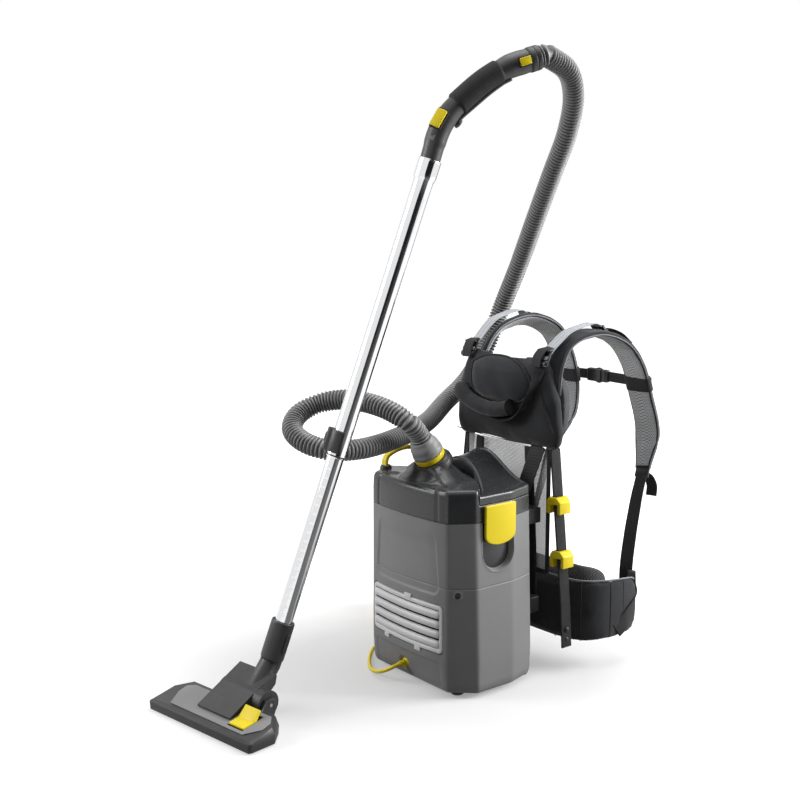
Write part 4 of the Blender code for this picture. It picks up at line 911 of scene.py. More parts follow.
def make_mains_cord(sizes):
    """Round cord from the gland, down to the floor, round behind the machine, into its coil and up to the
    plug."""
    step = sizes.cord_diameter + 0.0002
    radius = sizes.cord_diameter / 2
    start = [CORD_HOLE + (0, 0.005, 0), CORD_HOLE + (0, -0.016, 0)]
    last = COIL_CENTRE + (0.0928, 0, 0.0042)
    free = smooth_path(np.vstack([start, CORD_ROUTE, last]), 60)
    rear = COIL_CENTRE + np.array((-COIL_MIDDLE, 0.030, 0.0623))
    coil = coil_line(sizes.cord_length - path_length(free) - 0.12, step)
    end = coil[-1]
    rise = np.array([end + (np.array((rear[0], rear[1] + 0.030, 0.060)) - end) * t for t in (0.55,)])
    tail = smooth_path(np.vstack([coil[-14:-1:4], end, rise, rear + (0, 0.016, 0), rear + (0, -0.006, 0)]),
                       40)
    line = np.vstack([free[:-1], coil[:-15], tail])
    line = even_path(line, 1500)
    length = path_length(line)
    along = np.linspace(0, length, len(line))
    lead = skin("cord", sweep(line, circle(radius, 12), carried_sides(line)), FINISHES["yellow"],
                uv=(2 * math.pi * radius, along))
    finish_piece(lead, "machine", ("mains_cord", "mains_cord_coil"))
    plug = make_plug(rear)
    return line


def make_plug(rear):
    """Turned plug body with a ribbed strain relief, and two round pins."""
    matrix = axes(rear, (0, 0, 1), (0, -1, 0))
    ribs = [(0.0048 + 0.0003 * (k % 2), 0.0005 + 0.0022 * k) for k in range(10)]
    profile = rounded([(0.0040, 0.0)] + ribs + [(0.0150, 0.0245), (0.0180, 0.0305), (0.0180, 0.0475),
                                                (0.0165, 0.0520), (0.0001, 0.0520)], 3)
    body = skin("plug", lathe(profile, matrix, 40), FINISHES["rubber"])
    pins = []
    for side in (-1, 1):
        pin = [(0.0001, 0.050), (0.0024, 0.050), (0.0024, 0.0690), (0.0018, 0.0705), (0.0001, 0.0710)]
        grid = lathe(pin, matrix, 20) + matrix[:3, 1] * (0.0095 * side)
        pins.append(skin(f"plug_pin_{'left' if side < 0 else 'right'}", grid, FINISHES["steel"]))
    finish_piece(body, "machine", "mains_plug")
    for pin in pins:
        finish_piece(pin, "machine")
    return [body] + pins


def make_gland():
    """Tapered sleeve that guides the cord out of the front: a flange in the recess, then a cone with ring
    grooves."""
    matrix = axes(CORD_HOLE + np.array((0, 0.006, 0)), (1, 0, 0), (0, -1, 0))
    grooves = [(0.0066 - 0.00022 * k - 0.0004 * (k % 2), 0.0105 + 0.0016 * k) for k in range(8)]
    profile = [(0.0040, 0.0), (0.0100, 0.0), (0.0100, 0.0040), (0.0068, 0.0060)] + grooves + [(0.0038,
                                                                                               0.0236)]
    sleeve = skin("cord_sleeve", lathe(rounded(profile, 3), matrix, 36), FINISHES["yellow"])
    finish_piece(sleeve, "machine", "cord_gland")


# ---------------------------------------------------------------- machine

def outline_points(z):
    """Corner points of the plan outline at a height: the two sides lean in by the taper, and the front
    bows out by a
    parabola in X."""
    lean = TAPER * z / LID_Z
    half, back = HALF_WIDTH - lean, BACK_HALF - lean
    bow = FRONT_BOW * min(1.0, max(0.0, (z - BASE_Z) / 0.06))
    x = np.linspace(-FRONT_HALF, FRONT_HALF, 25)
    front = np.column_stack([x, -bow * (1 - (x / FRONT_HALF) ** 2)])
    rest = np.array([(half, FRONT_CHAMFER), (half, SIDE_END), (back, DEPTH), (0, DEPTH), (-back, DEPTH),
                     (-half, SIDE_END), (-half, FRONT_CHAMFER)])
    return np.vstack([front, rest])


def body_section(z, inset=0.0, count=600, soften=None):
    """Plan outline at a height, read off at equal steps from the middle of the back, its corners rounded
    by a moving
    average along the line, then moved in along its normal."""
    soften = bpy.context.scene.vacuum_sizes.housing_soften if soften is None else soften
    points = outline_points(z)
    start = 28
    ring = even_path(np.vstack([points[start:], points[:start + 1]]), count + 1)[:-1]
    step = np.linalg.norm(ring[1] - ring[0])
    reach = max(1, int(round(soften / step)))
    kernel = np.hanning(2 * reach + 3)[1:-1]
    kernel /= kernel.sum()
    padded_ring = np.vstack([ring[-reach:], ring, ring[:reach]])
    smooth = np.stack([np.convolve(padded_ring[:, k], kernel, mode="valid") for k in range(2)], axis=1)
    tangent = np.roll(smooth, -1, axis=0) - np.roll(smooth, 1, axis=0)
    tangent /= np.linalg.norm(tangent, axis=1)[:, None]
    normal = np.column_stack([tangent[:, 1], -tangent[:, 0]])
    return smooth - normal * inset, normal


def shell_rows(levels, insets, relief=None, count=600):
    """Grid of outline sections; relief(points, normals) gives a further inward depth for each point."""
    rows = []
    for z, inset in zip(levels, insets):
        ring, normal = body_section(z, inset, count)
        spots = np.column_stack([ring, np.full(count, z)])
        if relief is not None:
            spots[:, :2] -= normal * relief(spots, normal)[:, None]
        rows.append(spots)
    return np.array(rows)


def rounded_box_mask(u, v, half_u, half_v, corner, rim):
    """1 inside a rounded rectangle and 0 outside, over a rim: the signed distance to the shape through a
    smooth
    step."""
    du, dv = np.abs(u) - (half_u - corner), np.abs(v) - (half_v - corner)
    far = np.hypot(np.maximum(du, 0), np.maximum(dv, 0)) + np.minimum(np.maximum(du, dv), 0) - corner
    return 1.0 - ramp(far, -rim, rim)


def housing_relief(spots, normal):
    """Depth of the moulded features: the panel in the front, its lower field, the screw recess on each
    front chamfer,
    the finger recess under each latch and the pocket round the cord hole."""
    x, y, z = spots.T
    front = ramp(-normal[:, 1], 0.80, 0.97)
    panel = rounded_box_mask(x, z - 0.258, 0.094 - 0.10 * (z - 0.200), 0.062, 0.018, 0.0030)
    depth = 0.0022 * panel * front * (1.0 - ramp(z, 0.285, 0.318))
    foot_field = rounded_box_mask(x, z - 0.040, 0.097, 0.026, 0.008, 0.0025)
    depth = depth + 0.0012 * foot_field * front
    along = y - 0.017
    screw = np.hypot(along * 1.35, z - 0.1990)
    chamfer = (np.abs(x) > FRONT_HALF) & (y < FRONT_CHAMFER)
    depth = depth + np.where(chamfer, 0.0080 * (1 - ramp(screw, 0.0045, 0.0060)) - 0.0010 * (
        ramp(screw, 0.0058, 0.0072) - ramp(screw, 0.0078, 0.0098)), 0.0)
    side = np.abs(normal[:, 0]) > 0.9
    middle, half = (LATCH_FRONT + LATCH_REAR) / 2, (LATCH_REAR - LATCH_FRONT) / 2 + 0.002
    centre = 0.238 + half
    below = np.hypot(y - middle, np.minimum(z - centre, 0.0)) - half
    finger = 1.0 - ramp(below, -0.0045, 0.0006)
    lip = ramp(below, -0.0005, 0.0012) - ramp(below, 0.0012, 0.0042)
    depth = depth + np.where(side, 0.0118 * finger - 0.0009 * lip, 0.0)
    pocket = np.hypot((x - CORD_HOLE[0]) / 1.15, z - CORD_HOLE[2] - 0.002)
    return depth + 0.0034 * (1 - ramp(pocket, 0.0100, 0.0135)) * front


def make_housing():
    """Lower and upper shells with a real wall, moulded features, and the opening for the exhaust cover."""
    low = np.concatenate([np.linspace(BASE_Z, BASE_Z + 0.004, 4), np.linspace(BASE_Z + 0.006,
                                                                              SEAM_Z - 0.0008, 118),
                          [SEAM_Z - 0.0003, SEAM_Z]])
    tuck = 0.0105 * (1 - np.sqrt(np.clip(1 - (1 - np.clip((low - BASE_Z) / 0.022, 0, 1)) ** 2, 0, 1)))
    tuck = tuck + 0.0020 * (1 - ramp(low, 0.02, 0.075)) + 0.0006 * ramp(low, SEAM_Z - 0.0011, SEAM_Z)
    outer = shell_rows(low, tuck, housing_relief, 560)
    inner = shell_rows([SEAM_Z, SEAM_Z - 0.004, 0.10, BASE_Z + 0.012, BASE_Z],
                       [0.0045, 0.0062, 0.0065, 0.011, 0.0150],
                       None, 560)
    shell = skin("housing_lower_shell", np.concatenate([outer, inner]), FINISHES["housing"], joined=True)
    hole = rounded_outline(GRILLE_HALF + 0.0012, (GRILLE_HIGH - GRILLE_LOW) / 2 + 0.0012, 0.010,
                           (0.0, (GRILLE_LOW + GRILLE_HIGH) / 2))
    cutter = slab("cutter", hole, -0.03, 0.05, axes((0, 0, 0), (1, 0, 0), (0, -1, 0)) @ np.diag((1, 1, -1,
                                                                                                 1)),
                  FINISHES["black"], 0)
    cut_away(shell, cutter)
    cutter = skin("cutter", lathe([(0.0108, -0.02), (0.0108, 0.03)], axes(CORD_HOLE, (1, 0, 0), (0, -1, 0)),
                                  40),
                  FINISHES["black"])
    cut_away(shell, cutter)
    tidy_shading(shell)
    finish_piece(shell, "machine", "lower_housing")
    high = np.concatenate([[SEAM_Z + 0.0003, SEAM_Z + 0.0007], np.linspace(SEAM_Z + 0.0015, LID_Z, 88)])
    outer = shell_rows(high, 0.0006 * (1 - ramp(high, SEAM_Z, SEAM_Z + 0.0012)), housing_relief, 560)
    inner = shell_rows([LID_Z, SEAM_Z + 0.0003], [0.019, 0.019], None, 560)
    shell = skin("housing_upper_shell", np.concatenate([outer, inner]), FINISHES["housing"], joined=True)
    tidy_shading(shell)
    finish_piece(shell, "machine", "upper_housing")
    middle, reach = (LATCH_FRONT + LATCH_REAR) / 2, (LATCH_REAR - LATCH_FRONT) / 2 - 0.0022
    level, lean, turn = 0.240 + reach, TAPER / LID_Z, np.linspace(math.pi, 2 * math.pi, 32)
    well = np.vstack([reach * np.column_stack([np.cos(turn), np.sin(turn)]),
                      [(reach, 0.054), (-reach, 0.054)]])
    for side, name in ((1, "right"), (-1, "left")):
        matrix = axes((side * (HALF_WIDTH - lean * level - 0.0118), middle, level), (0, side, 0),
                      (side, 0, lean))
        plate = slab(f"finger_well_{name}", well, -0.001, 0.0014, matrix, FINISHES["lid"], 0.0006, 2)
        finish_piece(plate, "machine")


def tidy_shading(item, angle=38):
    """Smooth shading with true edges kept sharp."""
    item.data.shade_smooth()
    item.data.set_sharp_from_angle(angle=math.radians(angle))


def crest_line(x):
    """Y of the edge where the lid's dome gives way to the rear cowl: a parabola in X."""
    return 0.128 - 0.080 * (np.minimum(np.abs(x), 0.145) / 0.145) ** 2


def lid_height(x, y, inset):
    """Height of the lid: a tight superellipse shoulder at the outline, a slight rise to the inlet, an
    oval step round
    it, a shallow front field, and the drop to the rim behind the crest line."""
    reach = np.clip(inset / 0.013, 0, 1)
    shoulder = (1 - (1 - reach) ** 3.2) ** (1 / 3.2)
    away = np.hypot(x - INLET[0], (y - INLET[1]) * 1.05)
    rise = 0.026 * (1 - ramp(away, 0.030, 0.078)) * ramp(y, -0.02, 0.05)
    step = 0.0030 * (1 - ramp(np.hypot(x, (y - 0.030) / 0.62), 0.046, 0.052))
    field = 0.0032 * rounded_box_mask(x, y - 0.012, 0.086, 0.020, 0.016, 0.004)
    dome = RIM_Z - 0.002 + (LID_TOP - RIM_Z + 0.002) * shoulder + (rise + step - field) * ramp(inset, 0.006,
                                                                                               0.016)
    ahead = ramp(crest_line(x) - y, -0.002, 0.0035)
    tray = RIM_Z - 0.0012
    return tray * (1 - ahead) + dome * ahead


def make_lid():
    """Lid with its straight rim, dome and tray, as one closed wall."""
    count = 480
    levels = np.linspace(LID_Z + 0.0003, RIM_Z - 0.002, 14)
    groove = lambda spots, normal: 0.0022 * np.exp(-((np.abs(spots[:, 0]) - 0.088) / 0.0028) ** 2) * (
        -normal[:, 1] > 0.75)
    rim = shell_rows(levels, 0.0007 * (1 - ramp(levels, LID_Z, LID_Z + 0.0012)), groove, count)
    edge, normal = body_section(RIM_Z - 0.002, 0.0, count)
    edge = edge - normal * groove(np.column_stack([edge, np.zeros(count)]), normal)[:, None]
    centre = np.array((0.0, 0.070))
    shares = np.concatenate([np.linspace(0, 0.02, 5)[1:] ** 1.0, np.linspace(0.03, 0.20, 14),
                             np.linspace(0.22, 0.985, 52)])
    way = centre - edge
    lean = -(way * normal).sum(1)
    rows = []
    for share in shares:
        spots = edge + way * share
        z = lid_height(spots[:, 0], spots[:, 1], lean * share)
        rows.append(np.column_stack([spots, z]))
    top = np.array(rows)
    under = top[::-6].copy()
    under[..., 2] -= 0.003
    inside = shell_rows([RIM_Z - 0.005, LID_Z + 0.0003], [0.003, 0.003], None, count)
    item = skin("lid_shell", np.concatenate([rim, top, under[:-1], inside]), FINISHES["lid"], joined=True)
    tidy_shading(item, 50)
    finish_piece(item, "lid, hose and wand", "lid")


def cowl_height(x, y):
    """Height of the cowl's saddle: a level brim, and a swell about the middle that falls towards the
    front."""
    swell = np.exp(-(x / 0.075) ** 2)
    return LID_Z + 0.048 + swell * (0.054 - 0.16 * (DEPTH - y))


def make_cowl():
    """Saddle-shaped cowl: wall up from the lid's rim, a rolled edge, and the saddle surface inside it."""
    count = 420
    ring, _ = body_section(LID_Z + 0.04, 0.0, count)
    ring = np.column_stack([ring[:, 0], np.maximum(ring[:, 1], crest_line(ring[:, 0]) + 0.0014)])
    ring = even_path(np.vstack([ring, ring[:1]]), count + 1)[:-1]
    tangent = np.roll(ring, -1, axis=0) - np.roll(ring, 1, axis=0)
    tangent /= np.linalg.norm(tangent, axis=1)[:, None]
    normal = np.column_stack([tangent[:, 1], -tangent[:, 0]])
    kernel = np.hanning(15)[1:-1] / np.hanning(15)[1:-1].sum()
    wide = np.vstack([normal[-6:], normal, normal[:6]])
    normal = np.stack([np.convolve(wide[:, k], kernel, mode="valid") for k in range(2)], axis=1)
    edge = cowl_height(ring[:, 0], ring[:, 1])
    rows = [np.column_stack([ring, np.full(count, RIM_Z + 0.0003)])]
    for share in np.linspace(0.1, 1.0, 10):
        rows.append(np.column_stack([ring, (RIM_Z + 0.0003) * (1 - share) + (edge - 0.006) * share]))
    for turn in np.linspace(0.15, 1.0, 7) * math.pi / 2:
        inset = 0.006 * (1 - math.cos(turn))
        rows.append(np.column_stack([ring - normal * inset, edge - 0.006 + 0.006 * math.sin(turn) + 0.0006]))
    base = ring - normal * 0.006
    for share in np.concatenate([[0.012, 0.03, 0.06], np.linspace(0.1, 0.98, 30)]):
        px = base[:, 0] * (1 - share)
        mid = (crest_line(px) + DEPTH) / 2
        py = base[:, 1] + (mid - base[:, 1]) * share
        dish = 0.0022 * ramp(share, 0.0, 0.06)
        rows.append(np.column_stack([px, py, cowl_height(px, py) + 0.0006 - dish]))
    item = skin("cowl_saddle", np.array(rows), FINISHES["lid"])
    tidy_shading(item, 60)
    finish_piece(item, "lid, hose and wand", "rear_cowl")


def make_grille(sizes):
    """Exhaust cover: a frame with rounded corners that follows the front's bow, round ribs across it, and
    tabs."""
    low, high, half = GRILLE_LOW + 0.0006, GRILLE_HIGH - 0.0006, GRILLE_HALF - 0.0006
    middle, height = (low + high) / 2, (high - low) / 2

    def bowed(points, lift):
        """Points (x, z, out) carried on to the front's parabola."""
        x, z, out = points.T
        return np.column_stack([x, -FRONT_BOW * (1 - (x / FRONT_HALF) ** 2) - lift - out, z])

    outline = even_path(np.vstack([rounded_outline(half, height, 0.010, steps=10),
                                   rounded_outline(half, height, 0.010, steps=10)[:1]]), 241)[:-1]
    tangent = np.roll(outline, -1, axis=0) - np.roll(outline, 1, axis=0)
    tangent /= np.linalg.norm(tangent, axis=1)[:, None]
    inward = np.column_stack([-tangent[:, 1], tangent[:, 0]])
    section = [(0.0, -0.010), (0.0, -0.0006), (0.0008, 0.0006), (0.0022, 0.0012), (0.0070, 0.0012),
               (0.0082, 0.0004),
               (0.0088, -0.0010), (0.0090, -0.0060), (0.0090, -0.010)]
    rows = [bowed(np.column_stack([outline + inward * a + (0, middle), np.full(240, b)]), 0.0006)
            for a, b in section]
    rim = skin("grille_frame", np.array(rows), FINISHES["silver"], joined=True)
    tidy_shading(rim, 45)
    pieces = [rim]
    span = half - 0.0055
    x = np.linspace(-span, span, 60)
    pitch = 2 * (height - 0.0085) / sizes.grille_ribs
    for k in range(sizes.grille_ribs):
        z = middle - height + 0.0085 + pitch * (k + 0.5)
        path = bowed(np.column_stack([x, np.full(60, z), np.zeros(60)]), 0.0)
        fade = np.sqrt(np.clip(1 - np.clip((np.abs(x) - span + 0.008) / 0.008, 0, 1) ** 2, 0.04, 1))
        rib = sweep(path, oval(pitch * 0.40 * fade, 0.0052 * fade, 20, 0.95), fixed_sides(path, (0, 0, 1)))
        pieces.append(skin(f"grille_rib_{k}", rib, FINISHES["silver"]))
    floor = [bowed(np.column_stack([x, np.full(60, z), np.full(60, -0.0075)]), 0.0)
             for z in (low + 0.006, middle, high - 0.006)]
    back = bowed(np.column_stack([x, np.full(60, high - 0.006), np.full(60, -0.0100)]), 0.0)
    back_low = bowed(np.column_stack([x, np.full(60, low + 0.006), np.full(60, -0.0100)]), 0.0)
    mesh = skin("grille_backing", np.array(floor + [back, back_low]).transpose(1, 0, 2), FINISHES["rubber"])
    pieces.append(mesh)
    for k, (tx, tz, wide) in enumerate(((-0.055, low - 0.0005, 0.008), (0.040, low - 0.0005, 0.008),
                                        (0.012, high - 0.0005, 0.010))):
        spot = np.array((tx, -FRONT_BOW * (1 - (tx / FRONT_HALF) ** 2) - 0.0006, tz))
        matrix = axes(spot, (1, 0, 0), (2 * FRONT_BOW * tx / FRONT_HALF ** 2, -1, 0))
        up = -1 if k < 2 else 1
        shape = rounded_outline(wide, 0.0052, 0.0016, (0, 0.0012 * up))
        pieces.append(slab(f"grille_tab_{k}", shape, -0.004, 0.0016, matrix, FINISHES["silver"], 0.0006, 2))
    for item in pieces:
        finish_piece(item, "exhaust cover")
    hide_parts("exhaust_grille")


def make_latches():
    """Yellow latch plates with rounded lower ends and softened edges."""
    middle, half = (LATCH_FRONT + LATCH_REAR) / 2, (LATCH_REAR - LATCH_FRONT) / 2
    arc = np.linspace(0, math.pi, 40)
    low = np.column_stack([middle - half * np.cos(arc), LATCH_LOW + 0.022 - 0.022 * np.sin(arc) ** 0.8])
    outline = np.vstack([low, [(middle + half, LATCH_HIGH - 0.002), (middle + half - 0.002, LATCH_HIGH)],
                         [(middle - half + 0.002, LATCH_HIGH), (middle - half, LATCH_HIGH - 0.002)]])
    inner = HALF_WIDTH - TAPER * LATCH_LOW / LID_Z + 0.0006
    for side, name in ((1, "right"), (-1, "left")):
        matrix = np.eye(4)
        matrix[:3, 0], matrix[:3, 1], matrix[:3, 2] = (0, 1, 0), (0, 0, 1), (1, 0, 0)
        span = sorted((side * inner, side * (inner + 0.006)))
        plate = slab(f"latch_plate_{name}", outline, span[0], span[1], matrix, FINISHES["yellow"], 0.0016, 4)
        finish_piece(plate, f"{name} latch", f"latch_{name}")


def make_inlet():
    """Black foot ring, yellow collar with a dark gap, and the grey cone of the hose end with its two
    steps."""
    matrix = inlet_axes()
    foot = [(0.0200, -0.016), (0.0385, -0.016), (0.0375, -0.004), (0.0345, -0.0010), (0.0325, 0.0038),
            (0.0238, 0.0038), (0.0238, 0.0158), (0.0185, 0.0158), (0.0185, -0.016)]
    item = skin("inlet_foot", lathe(rounded(foot, 4, 0.25), matrix, 72), FINISHES["black"], caps=False)
    finish_piece(outward(item, 1e-6), "lid, hose and wand", "inlet_spigot")
    ring = [(0.0241, 0.0043), (0.0282, 0.0043), (0.0296, 0.0060), (0.0302, 0.0110), (0.0300, 0.0158),
            (0.0241, 0.0158), (0.0241, 0.0043)]
    item = skin("inlet_collar", lathe(rounded(ring, 4, 0.25), matrix, 72), FINISHES["yellow"], caps=False)
    finish_piece(outward(item, 1e-6), "hose ring", "swivel_ring")
    cone = [(0.0160, 0.0163), (0.0285, 0.0163), (0.0302, 0.0180), (0.0300, 0.0240), (0.0288, 0.0262),
            (0.0284, 0.0350),
            (0.0262, 0.0400), (0.0238, 0.0440), (0.0228, 0.0503), (0.0160, 0.0503), (0.0160, 0.0163)]
    item = skin("hose_cone", lathe(rounded(cone, 4, 0.3), matrix, 72), FINISHES["hose"], caps=False)
    finish_piece(outward(item, 1e-6), frame_body("hose_cuff"), "hose_cuff")


def frame_body(node):
    """Name of the body that a CAD node rides on."""
    return frame["nodes"][node]["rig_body"]


def make_carry_handle():
    """Yellow bow: a rounded oval section along the handle's curve, widened where it meets the lid."""
    points = [(-0.118, 0.034, 0.4015), (-0.119, 0.040, 0.419), (-0.117, 0.065, 0.431),
              (-0.113, 0.095, 0.433), (-0.111, 0.118, 0.424), (-0.110, 0.126, 0.401)]
    path = smooth_path(points, 70)
    t = np.linspace(-1, 1, 70)
    wide = 0.0070 + 0.0018 * np.abs(t) ** 6
    bow = sweep(path, oval(wide, 0.0042, 28, 0.6), fixed_sides(path, (1, 0, 0)))
    finish_piece(skin("carry_bow", bow, FINISHES["yellow"]), "lid, hose and wand", "carry_handle")
    for name, spot in (("front", (-0.1175, 0.037, 0.3985)), ("rear", (-0.110, 0.125, 0.3965))):
        matrix = axes(spot, (1, 0, 0), (0, 0, 1))
        boss = [(0.0001, -0.008), (0.0125, -0.008), (0.0115, 0.0020), (0.0092, 0.0052), (0.0001, 0.0056)]
        item = skin(f"bow_foot_{name}", lathe(rounded(boss, 4), matrix, 32), FINISHES["black"])
        finish_piece(item, "lid, hose and wand")


# ---------------------------------------------------------------- stage

def dark_screens(w, facing, centre):
    """Mask of the two upright dark screens that a plated tube mirrors: the level share of the direction,
    made unit
    length, against the middle direction of each screen."""
    moved = w.add("ShaderNodeVectorMath", operation="SUBTRACT")
    w.link(facing, moved.inputs[0])
    moved.inputs[1].default_value = centre
    level = w.add("ShaderNodeVectorMath", operation="MULTIPLY")
    w.link(moved.outputs[0], level.inputs[0])
    level.inputs[1].default_value = (1.0, 1.0, 0.0)
    unit = w.add("ShaderNodeVectorMath", operation="NORMALIZE")
    w.link(level.outputs[0], unit.inputs[0])
    masks = []
    for direction, low, high in (((0.974, -0.225, 0.0), 0.865, 0.885), ((-0.55, 0.835, 0.0), 0.955, 0.975)):
        dot = w.add("ShaderNodeVectorMath", operation="DOT_PRODUCT")
        w.link(unit.outputs[0], dot.inputs[0])
        dot.inputs[1].default_value = direction
        masks.append(w.spread(dot.outputs["Value"], low, high))
    return w.math("MAXIMUM", masks[0], masks[1])


def make_stage():
    """White floor that turns into its own light away from the machine, two side lamps, a weak top lamp,
    and a studio
    sky: white to look at and in gloss, with one dark screen at the right, and dimmer for soft light."""
    size = 14.0
    points = np.array([(-size, -size, -0.0004), (size, -size, -0.0004), (size, size, -0.0004),
                       (-size, size, -0.0004)])
    made, w, shader = start_material("white studio floor")
    place = w.add("ShaderNodeTexCoord").outputs["Object"]
    rays = w.add("ShaderNodeLightPath")
    pale = w.mix(w.noise(place, 2.0), (0.60, 0.60, 0.60, 1), (0.63, 0.63, 0.63, 1))
    w.link(w.mix(w.math("MAXIMUM", rays.outputs["Is Diffuse Ray"], rays.outputs["Is Glossy Ray"]), pale,
                 (0.16, 0.16, 0.16, 1)), shader.inputs["Base Color"])
    shader.inputs["Roughness"].default_value = 0.8
    shader.inputs["Specular IOR Level"].default_value = 0.1
    away = w.add("ShaderNodeVectorMath", operation="LENGTH")
    w.link(place, away.inputs[0])
    glow = w.mix(w.spread(away.outputs["Value"], 0.30, 0.95), (0.30, 0.30, 0.30, 1), (1.0, 1.0, 1.0, 1))
    glow = w.mix(rays.outputs["Is Diffuse Ray"], glow, (0.0, 0.0, 0.0, 1))
    dark = w.math("MULTIPLY", dark_screens(w, place, (0.02, -0.15, 0.0)), rays.outputs["Is Glossy Ray"])
    w.link(w.mix(dark, glow, (0.0, 0.0, 0.0, 1)), shader.inputs["Emission Color"])
    shader.inputs["Emission Strength"].default_value = 1.0
    floor = build_object("studio_floor", points - ORIGIN, [[0, 1, 2, 3]], made)
    for name, spot, target, wide, tall, power in (
            ("left_softbox", (-1.9, -2.7, 1.9), (0, 0, 0.35), 1.6, 2.0, 68.0),
            ("right_softbox", (1.9, 2.6, 1.6), (0, 0.1, 0.4), 1.4, 2.0, 140.0),
            ("top_softbox", (0.2, 0.4, 3.4), (0, 0, 0.4), 2.2, 2.2, 50.0)):
        data = bpy.data.lights.new(name, "AREA")
        data.shape, data.size, data.size_y, data.energy = "RECTANGLE", wide, tall, power
        lamp = bpy.data.objects.new(name, data)
        lamp.location = spot
        lamp.rotation_euler = (Vector(target) - Vector(spot)).to_track_quat("-Z", "Y").to_euler()
        bpy.context.scene.collection.objects.link(lamp)
    world = bpy.context.scene.world or bpy.data.worlds.new("studio sky")
    bpy.context.scene.world = world
    world.use_nodes = True
    w = Wiring(world.node_tree)
    sky = next(n for n in world.node_tree.nodes if n.type == "BACKGROUND")
    facing = w.add("ShaderNodeTexCoord").outputs["Generated"]
    dim = w.add("ShaderNodeVectorMath", operation="DOT_PRODUCT")
    dim.inputs[1].default_value = (0.86, -0.50, 0.10)
    w.link(facing, dim.inputs[0])
    steep = w.add("ShaderNodeSeparateXYZ")
    w.link(facing, steep.inputs[0])
    low = w.spread(w.math("ABSOLUTE", steep.outputs["Z"]), 0.62, 0.50)
    screens = w.math("MULTIPLY", dark_screens(w, facing, (0.0, 0.0, 0.0)), low)
    gloss = w.mix(screens, (1.0, 1.0, 1.0, 1), (0.015, 0.015, 0.017, 1))
    soft = w.mix(w.spread(dim.outputs["Value"], -0.2, 0.75), (0.17, 0.17, 0.175, 1), (0.02, 0.02, 0.022, 1))
    rays = w.add("ShaderNodeLightPath")
    lit = w.mix(rays.outputs["Is Diffuse Ray"], gloss, soft)
    w.link(w.mix(rays.outputs["Is Camera Ray"], lit, (1.0, 1.0, 1.0, 1)), sky.inputs["Color"])
    sky.inputs["Strength"].default_value = 1.0
    bpy.context.scene.view_settings.view_transform = "Standard"


def make_camera():
    """Camera low on the machine's front right, looking slightly down."""
    data = bpy.data.cameras.new("view")
    data.lens, data.sensor_width = 54.8, 36.0
    data.dof.use_dof = False
    item = bpy.data.objects.new("view", data)
    bpy.context.scene.collection.objects.link(item)
    turn, tilt = math.radians(51.76), math.radians(9.19)
    right = Vector((math.cos(turn), math.sin(turn), 0))
    back = Vector((math.sin(turn) * math.cos(tilt), -math.cos(turn) * math.cos(tilt), math.sin(tilt)))
    up = back.cross(right)
    place = Matrix((right, up, back)).transposed().to_4x4()
    place.translation = Vector((1.7535, -1.4019, 0.9149)) + Vector(ORIGIN)
    item.matrix_world = place
    bpy.context.scene.camera = item


# ---------------------------------------------------------------- wand and handle

def wand_axes():
    """Frame of the wand: Z up the tube from its mouth, X level towards the lock's side."""
    return axes(WAND_TOP, (-0.62, -0.785, 0.0), WAND_UP)


def closed_turning(name, profile, matrix, finish, count=64, steps=3, share=0.25):
    """Ring turned from a profile that is closed by repeating its first point."""
    profile = np.vstack([profile, profile[:1]])
    return outward(skin(name, lathe(rounded(profile, steps, share), matrix, count), finish, caps=False),
                   1e-6)


def part_ring(matrix, start, stop, inner, outer, low, high, count=40):
    """Grid of a saddle that wraps part of a tube: inner and outer arcs between two angles, at two
    heights; outer may
    be a function of angle."""
    angle = np.linspace(start, stop, count)
    out = outer(angle) if callable(outer) else np.full(count, outer)
    rows = []
    for radius, z in ((np.full(count, inner), low), (out, low), (out, high), (np.full(count, inner), high)):
        rows.append(np.column_stack([radius * np.cos(angle), radius * np.sin(angle), np.full(count, z)]))
    return placed(np.array(rows), matrix)


